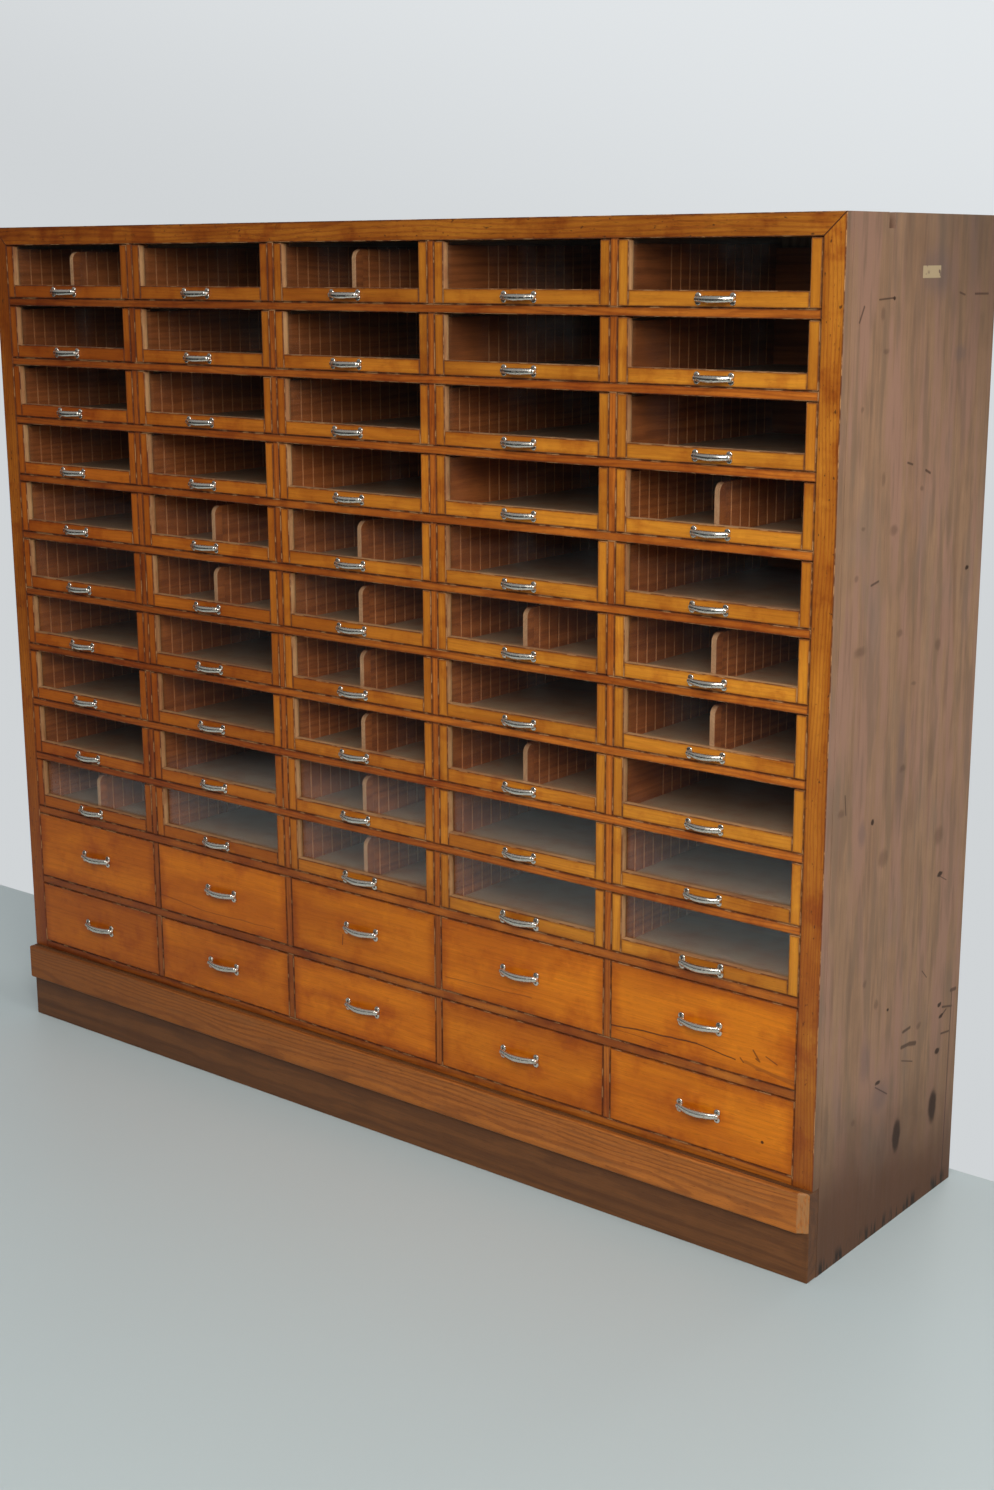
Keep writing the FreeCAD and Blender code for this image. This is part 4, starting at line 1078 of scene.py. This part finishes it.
class CABINET_OT_stage(bpy.types.Operator):
    """Add the camera, the lamps, the floor and the backdrop"""

    bl_idname = "cabinet.stage"
    bl_label = "Stage"

    def execute(self, context):
        scene = context.scene
        scene.view_settings.view_transform = "Standard"
        hue = colours()
        self.add_camera(scene)
        self.add_floor(scene, hue.floor)
        self.add_wall(scene, hue.wall)
        for name, (at, target, width, power, tint) in LAMPS.items():
            self.add_lamp(scene, name, at, target, width, power, tint)
        self.add_world(scene)
        return {"FINISHED"}

    def add_camera(self, scene):
        lens = bpy.data.cameras.new("camera")
        lens.sensor_width, lens.lens = SENSOR, LENS
        camera = bpy.data.objects.new("camera", lens)
        pitch, roll, yaw = (math.radians(turn) for turn in (CAMERA_PITCH, CAMERA_ROLL, CAMERA_YAW))
        ahead = Vector((-math.sin(yaw) * math.cos(pitch), math.cos(yaw) * math.cos(pitch),
                        -math.sin(pitch)))
        right = Vector((math.cos(yaw), math.sin(yaw), 0.0))
        up = right.cross(ahead)
        across = right * math.cos(roll) + up * math.sin(roll)
        upright = up * math.cos(roll) - right * math.sin(roll)
        turned = Matrix((across, upright, -ahead)).transposed().to_4x4()
        camera.matrix_world = Matrix.Translation(CAMERA_AT) @ turned
        scene.collection.objects.link(camera)
        scene.camera = camera

    def add_floor(self, scene, hue):
        """A floor with painted light, paler to the left and darker to the right.

        Glossy rays see it lit only near the cabinet and to the right, as the photo's panes do.
        """
        finish = Finish("floor")
        cloud = finish.noise(finish.place(), 0.9, 4.0)
        tint = finish.mix(finish.step(cloud, 0.3, 0.7) * 0.1, hue, [c * 0.86 for c in hue])
        x, y, _ = finish.parts(finish.place())
        # Painted light: paler to the left, darker to the right.
        tint = finish.shade(tint, finish.step(x, -2.4, 2.0, 1.30, 0.84))
        slant = x + (y + 2.06) * 1.2
        lit = finish.step(y, -2.8, -1.95) * finish.step(slant, -2.85, -1.85)
        mirrored = finish.out(finish.node("LightPath"), "Is Glossy Ray")
        tint = finish.mix((1 - lit) * mirrored, tint, (0.012, 0.011, 0.010))
        finish.surface({"Base Color": tint, "Roughness": 0.42, "Specular IOR Level": 0.4})
        self.add_sheet(scene, finish, "floor",
                       [(-12, -7, 0), (12, -7, 0), (12, 12, 0), (-12, 12, 0)])

    def add_wall(self, scene, hue):
        """A pale wall behind the cabinet, seen by the camera alone and only from in front. It glows
        with painted light, brighter towards the top and the right.
        """
        finish = Finish("backdrop")
        x, _, z = finish.parts(finish.place())
        # Painted light: the wall glows, brighter towards the top and the right.
        gleam = finish.step(x * 0.35 + z, 1.3, 2.6)
        tint = finish.mix(gleam, [c * 0.84 for c in hue], [min(c * 1.04, 1.0) for c in hue])
        paint = finish.out(finish.node("Emission", None, {"Color": tint, "Strength": 1.0}))
        gone = finish.out(finish.node("BsdfTransparent"))
        behind = finish.out(finish.node("NewGeometry"), "Backfacing")
        finish.show(finish.blend(behind, paint, gone))
        y = BACK + 0.035
        wall = self.add_sheet(scene, finish, "backdrop",
                              [(-12, y, 0), (12, y, 0), (12, y, 6), (-12, y, 6)])
        wall.visible_diffuse = wall.visible_glossy = wall.visible_shadow = False
        wall.visible_transmission = False

    def add_sheet(self, scene, finish, name, corners):
        mesh = bpy.data.meshes.new(name)
        mesh.from_pydata(corners, [], [(0, 1, 2, 3)])
        mesh.materials.append(finish.material)
        sheet = bpy.data.objects.new(name, mesh)
        scene.collection.objects.link(sheet)
        return sheet

    def add_lamp(self, scene, name, at, target, width, power, hue):
        lamp = bpy.data.lights.new(name, "AREA")
        lamp.shape, lamp.size, lamp.energy, lamp.color = "DISK", width, power, hue
        holder = bpy.data.objects.new(name, lamp)
        holder.location = at
        holder.rotation_euler = (Vector(target) - Vector(at)).to_track_quat("-Z", "Y").to_euler()
        scene.collection.objects.link(holder)

    def add_world(self, scene):
        """A soft room that glossy rays see as a bright ceiling over a dark floor."""
        scene.world = bpy.data.worlds.new("room")
        room = Finish("room", scene.world)
        path = room.node("LightPath")
        upward = room.parts(room.out(room.node("TexCoord"), "Generated"))[2]
        height = room.out(room.node("MapRange", None, {
            "Value": upward, "From Min": 0.0, "From Max": 0.35}))
        ceiling = room.mix(height, (0.03, 0.03, 0.03), (0.95, 0.97, 1.0))
        light = room.mix(room.out(path, "Is Glossy Ray"), (0.93, 0.96, 1.0), ceiling)
        soft = room.node("Background", None, {"Color": light, "Strength": 0.34})
        seen = room.node("Background", None, {"Color": (0.74, 0.79, 0.86, 1.0)})
        room.show(room.blend(room.out(path, "Is Camera Ray"), room.out(soft), room.out(seen)),
                  "OutputWorld")


class CABINET_OT_case(bpy.types.Operator):
    """Finish the sides, top, bottom, partitions and runners, and lay the back boards"""

    bl_idname = "cabinet.case"
    bl_label = "Case"

    def execute(self, context):
        found = finishes()
        for node, label in (("side_panel_left", "side_pine"), ("side_panel_right", "side_pine"),
                            ("top_board", "raw_across"), ("bottom_board", "raw_across"),
                            ("partitions", "raw_deep"), ("drawer_runners", "raw_deep")):
            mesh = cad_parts[node].data
            mesh.materials.clear()
            mesh.materials.append(found[label])
        self.lay_back(found)
        return {"FINISHED"}

    def lay_back(self, found):
        low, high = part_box("back_boards")
        tongue, joint = 0.005, 0.0004
        pitch = (high.x - low.x - tongue) / sizes().back_boards
        plan = Joinery(5)
        deep, wide = high.y - low.y, pitch - joint
        plan.prism([(0, 0), (wide, 0), (wide, deep * 0.33), (pitch + tongue, deep * 0.33),
                    (pitch + tongue, deep * 0.66), (wide, deep * 0.66), (wide, deep), (0, deep)],
                   2, low.z, high.z, 2, tone=0.0)
        starts = [(low.x + pitch * i, low.y, 0.0) for i in range(sizes().back_boards)]
        mesh = copies("back_boards_worn", plan.mesh("back_board"), starts, found["raw_board"],
                      cut=0.15, seed=4)
        shown("back_boards_worn", mesh, "case", ("back_boards",))


class CABINET_OT_frame(bpy.types.Operator):
    """Join the front frame: mitred stiles and top rail, long rails and short muntins"""

    bl_idname = "cabinet.frame"
    bl_label = "Front frame"

    def execute(self, context):
        size, found = sizes(), finishes()
        outer = Joinery(11)
        back = FACE + size.frame_thickness
        inner_top = TOP - size.top_rail
        for side, edge in ((1, LEFT), (-1, RIGHT)):
            outer.prism([(edge, PLINTH_TOP), (edge + side * size.stile, PLINTH_TOP),
                         (edge + side * size.stile, inner_top), (edge, TOP)],
                        1, FACE, back, 2, tone=LEFT_SHADED_TONE if side > 0 else RIGHT_LIT_TONE,
                        special=lambda at, normal: 1 if abs(normal[0]) > 0.9
                        and abs(abs(at[0]) - RIGHT) < 0.002 else None)
        outer.prism([(LEFT, TOP), (LEFT + size.stile, inner_top), (RIGHT - size.stile, inner_top),
                     (RIGHT, TOP)], 1, FACE, back, 0, tone=TOP_SHADED_TONE)
        outer.board((LEFT + size.stile, FACE, PLINTH_TOP),
                    (RIGHT - size.stile, back, PLINTH_TOP + size.bottom_rail), 0, kind=2)
        shown("front_frame", outer.mesh("front_frame", found["frame_wood"], found["side_pine"],
                                        found["rail_wood"]),
              "case", ("face_frame",))
        rails = Joinery(12)
        deep = FACE + size.rail_depth
        for floor, _, rail in rows().values():
            if rail:
                rails.board((LEFT + size.stile, FACE, floor - rail),
                            (RIGHT - size.stile, deep, floor), 0)
        shown("long_rails", rails.mesh("long_rails", found["rail_wood"]), "case")
        self.stand_muntins(found)
        return {"FINISHED"}

    def stand_muntins(self, found):
        """The short uprights between neighbouring openings, copied along each height of row."""
        size = sizes()
        heights = {}
        for floor, height, _ in rows().values():
            places = [(opening_left(column) - size.muntin, FACE, floor)
                      for column in range(2, COLUMNS + 1)]
            heights.setdefault(round(height, 4), []).extend(places)
        for number, (height, places) in enumerate(sorted(heights.items())):
            one = Joinery(20 + number)
            one.board((0, 0, 0), (size.muntin, size.rail_depth, height), 2, tone=0.0)
            name = f"muntins_{number}"
            mesh = copies(name, one.mesh("muntin"), places, found["rail_wood"], cut=0.12,
                          seed=number)
            shown(name, mesh, "case")


class CABINET_OT_plinth(bpy.types.Operator):
    """Lay the plinth board, and the worn moulding with its broken corner"""

    bl_idname = "cabinet.plinth"
    bl_label = "Plinth"

    def execute(self, context):
        size, found = sizes(), finishes()
        front = FACE - size.plinth_projection
        base = Joinery(31)
        base.board((LEFT, front, 0.0), (RIGHT, front + size.plinth_thickness, PLINTH_TOP), 0,
                   arris=0.0015)
        shown("plinth_face", base.mesh("plinth_face", found["plinth_wood"]), "case",
              ("plinth_board",))
        strip = Joinery(32)
        low, top = PLINTH_TOP - size.moulding_height, PLINTH_TOP
        near = front - size.moulding_thickness
        nibble, breaks = random.Random(8), 5
        corner = [(RIGHT - size.broken_corner, near)]
        for share in (i / breaks for i in range(1, breaks)):
            corner.append((RIGHT - size.broken_corner * (1 - share) - nibble.uniform(0.0, 0.0012),
                           near + size.moulding_thickness * share + nibble.uniform(0.0, 0.0009)))
        corner.append((RIGHT, front))
        strip.prism([(LEFT, front), (LEFT, near + 0.001), (LEFT + 0.001, near), *corner],
                    2, low, top, 0, arris=0.0022)
        shown("plinth_moulding_worn", strip.mesh("plinth_moulding_worn", found["moulding_oak"]),
              "case", ("plinth_moulding",))
        return {"FINISHED"}


class CABINET_OT_drawers(bpy.types.Operator):
    """Build every drawer: its front, its box with slots and divider, and its pane"""

    bl_idname = "cabinet.drawers"
    bl_label = "Drawers"

    def execute(self, context):
        for body, members in drawer_bodies().items():
            self.build(body, members)
        return {"FINISHED"}

    def build(self, body, members):
        found = finishes()
        seed = sum(column * 17 + row * 131 for column, row in members)
        front, box, panes = Joinery(seed), Joinery(seed + 7), Joinery(seed + 9)
        for column, row in members:
            floor, height, _ = rows()[row]
            x = opening_left(column) + sizes().side_gap
            wide = sizes().opening_width - 2 * sizes().side_gap
            if row > GLASS_ROWS:
                self.wood_front(front, x, wide, floor, height)
                self.box(box, x, wide, floor, height, sizes().wood_front, None)
            else:
                self.glass_front(front, panes, x, wide, floor, height)
                first = (sizes().late_slot if (column, row) in PLAIN_IN_FRONT
                         else sizes().first_slot)
                self.box(box, x, wide, floor, height, sizes().front_thickness, first)
                if (column, row) in DIVIDED:
                    self.divider(box, x + wide / 2, floor, height)
        label = body.replace("drawer_", "")
        face = found["drawer_front" if members[0][1] > GLASS_ROWS else "glazed_front"]
        shown("front_" + label, front.mesh("front_" + label, face, found["front_edge"]),
              body, (body,))
        shown("box_" + label, box.mesh("box_" + label, found["inside_wood"], found["slot_wood"],
                                       found["dusty_panel"], found["divider_edge"]),
              body)
        if panes.points:
            shown("pane_" + label, panes.mesh("pane_" + label, found["glass_pane"]),
                  body)

    def wood_front(self, front, x, wide, floor, height):
        size = sizes()
        front.board((x, FACE, floor + size.gap_below),
                    (x + wide, FACE + size.wood_front, floor + height - size.gap_above), 0)

    def glass_front(self, front, panes, x, wide, floor, height):
        """Two stiles and a rail, with the pane in their grooves."""
        size = sizes()
        low, high = floor + size.gap_below, floor + height - size.gap_above
        back = FACE + size.front_thickness
        inner = ((x, 1), (x + wide - size.front_stile, -1))
        for start, side in inner:
            front.board((start, FACE, low), (start + size.front_stile, back, high), 2,
                        special=lambda at, normal, side=side: 1 if normal[0] * side > 0.9 else None)
        front.board((x + size.front_stile, FACE, low),
                    (x + wide - size.front_stile, back, low + size.front_rail), 0,
                    special=lambda at, normal: 1 if normal[2] > 0.9 else None)
        reach = 0.0015
        panes.board((x + size.front_stile - reach, FACE + size.glass_setback,
                     low + size.front_rail - reach),
                    (x + wide - size.front_stile + reach,
                     FACE + size.glass_setback + size.glass, high), 0, arris=THIN_ARRIS)

    def comb(self, near, far, base, depth, first, end):
        """One face of a slotted wall, as points in plan from near to far."""
        size = sizes()
        line = [(base, near)]
        if first:
            y = near + first
            while y + size.slot_width <= end:
                line += [(base, y), (base + depth, y), (base + depth, y + size.slot_width),
                         (base, y + size.slot_width)]
                y += size.slot_pitch
        line.append((base, far))
        return line

    def box(self, box, x, wide, floor, height, thick, first):
        """The slotted sides, the back and the bottom panel behind a front that is thick."""
        size = sizes()
        near, far = FACE + thick, FACE + size.drawer_length
        high = floor + height - size.side_headroom
        wall, end = size.drawer_wall, far - size.drawer_wall
        for outer, side in ((x, 1), (x + wide, -1)):
            inner = outer + side * wall
            face = self.comb(near, far, inner, -side * size.slot_depth, first, end)
            box.prism([(outer, near), *face, (outer, far)], 2, floor, high, 1,
                      arris=FINE_ARRIS, special=slot_faces((inner, side)))
        panel_top = floor + size.panel_rise + size.panel
        box.board((x + wall, end, panel_top), (x + wide - wall, far, high - size.back_headroom), 0,
                  arris=FINE_ARRIS, kind=WALL)
        box.board((x + wall, near, floor + size.panel_rise), (x + wide - wall, far, panel_top), 0,
                  arris=THIN_ARRIS, kind=PANEL)

    def divider(self, box, middle, floor, height):
        """The fixed divider, slotted on both faces, with its rounded nose behind the front."""
        size = sizes()
        near = FACE + size.front_thickness
        far = FACE + size.drawer_length - size.drawer_wall
        low = floor + size.panel_rise + size.panel
        high = floor + height - size.side_headroom - size.back_headroom
        half, deep, nose, joint = size.divider / 2, size.slot_depth, 0.02, 0.0005
        left = self.comb(near + nose, far, middle - half, deep, size.first_slot - nose, far)
        right = self.comb(near + nose, far, middle + half, -deep, size.first_slot - nose, far)
        box.prism([*left, *reversed(right)], 2, low, high, 1, arris=FINE_ARRIS,
                  special=slot_faces((middle - half, -1), (middle + half, 1), near=near + 0.03))
        arc, steps = [(near + nose + joint, low), (near + nose + joint, high)], 8
        for i in range(steps + 1):
            turn = math.pi / 2 * i / steps
            arc.append((near + size.divider_round * (1 - math.sin(turn)),
                        high - size.divider_round * (1 - math.cos(turn))))
        arc.append((near, low))
        box.prism(arc, 0, middle - half, middle + half, 1, arris=0.001,
                  special=lambda at, normal: NOSE if normal[1] < -0.2 else None)


class CABINET_OT_handles(bpy.types.Operator):
    """Screw a bow handle on every drawer"""

    bl_idname = "cabinet.handles"
    bl_label = "Handles"

    def execute(self, context):
        size, found = sizes(), finishes()
        patterns = {small: handle_parts(small) for small in (False, True)}
        head = screw_head()
        for body, members in drawer_bodies().items():
            points, faces, feet = [], [], []
            for column, row in members:
                floor, height, _ = rows()[row]
                x = opening_left(column) + size.opening_width / 2
                if row > GLASS_ROWS:
                    z = floor + (height + size.gap_below - size.gap_above) / 2
                else:
                    z = floor + size.gap_below + size.front_rail / 2
                small = row <= GLASS_ROWS and (column, row) not in LARGE_ON_GLASS
                if small and column in SHIFTED_COLUMNS:
                    x -= size.handle_shift
                shells, screws = patterns[small]
                for shell, around in shells:
                    base = len(points)
                    points += [(x + p[0], FACE + p[1], z + p[2]) for p in shell]
                    faces += [[base + i for i in face] for face in around]
                feet += [(x + p[0], FACE + p[1], z + p[2]) for p in screws]
            label = body.replace("drawer_", "")
            mesh = bpy.data.meshes.new("handle_" + label)
            mesh.from_pydata(points, [], faces)
            mesh.polygons.foreach_set("use_smooth", [True] * len(mesh.polygons))
            mesh.materials.append(found["nickel"])
            mesh.update()
            shown("handle_" + label, mesh, body)
            column, row = members[0]
            screws = copies("screws_" + label, head, feet, found["screw_steel"], turn=math.pi,
                            seed=len(label) + column * 7 + row)
            shown("screws_" + label, screws, body)
        return {"FINISHED"}


def drawer_bodies():
    """{body: the (column, row) of its drawers}"""
    found = {}
    for column in range(1, COLUMNS + 1):
        for row in range(1, GLASS_ROWS - 1):
            found[f"drawer_c{column}_r{row:02d}"] = [(column, row)]
        for row in (GLASS_ROWS - 1, GLASS_ROWS + 1):
            found[f"drawer_pair_c{column}_r{row:02d}_r{row + 1:02d}"] = [(column, row),
                                                                        (column, row + 1)]
    return found


STEPS = (CABINET_OT_stage, CABINET_OT_case, CABINET_OT_frame, CABINET_OT_plinth,
         CABINET_OT_drawers, CABINET_OT_handles)


class CABINET_PT_panel(bpy.types.Panel):
    """Steps that build the cabinet"""

    bl_idname = "CABINET_PT_panel"
    bl_label = "Haberdashery Cabinet"
    bl_space_type = "VIEW_3D"
    bl_region_type = "UI"
    bl_category = "Cabinet"

    def draw(self, context):
        for step in STEPS:
            self.layout.operator(step.bl_idname)
        for group in (context.scene.cabinet_sizes, context.scene.cabinet_colours):
            for name in group.bl_rna.properties.keys():
                if name not in ("rna_type", "name"):
                    self.layout.prop(group, name)


CLASSES = (CabinetSizes, CabinetColours, *STEPS, CABINET_PT_panel)


def register():
    for item in CLASSES:
        bpy.utils.register_class(item)
    bpy.types.Scene.cabinet_sizes = PointerProperty(type=CabinetSizes)
    bpy.types.Scene.cabinet_colours = PointerProperty(type=CabinetColours)


def unregister():
    del bpy.types.Scene.cabinet_colours
    del bpy.types.Scene.cabinet_sizes
    for item in reversed(CLASSES):
        bpy.utils.unregister_class(item)


def main():
    register()
    bpy.ops.cabinet.stage()
    bpy.ops.cabinet.case()
    bpy.ops.cabinet.frame()
    bpy.ops.cabinet.plinth()
    bpy.ops.cabinet.drawers()
    bpy.ops.cabinet.handles()


if __name__ == "__main__":
    main()
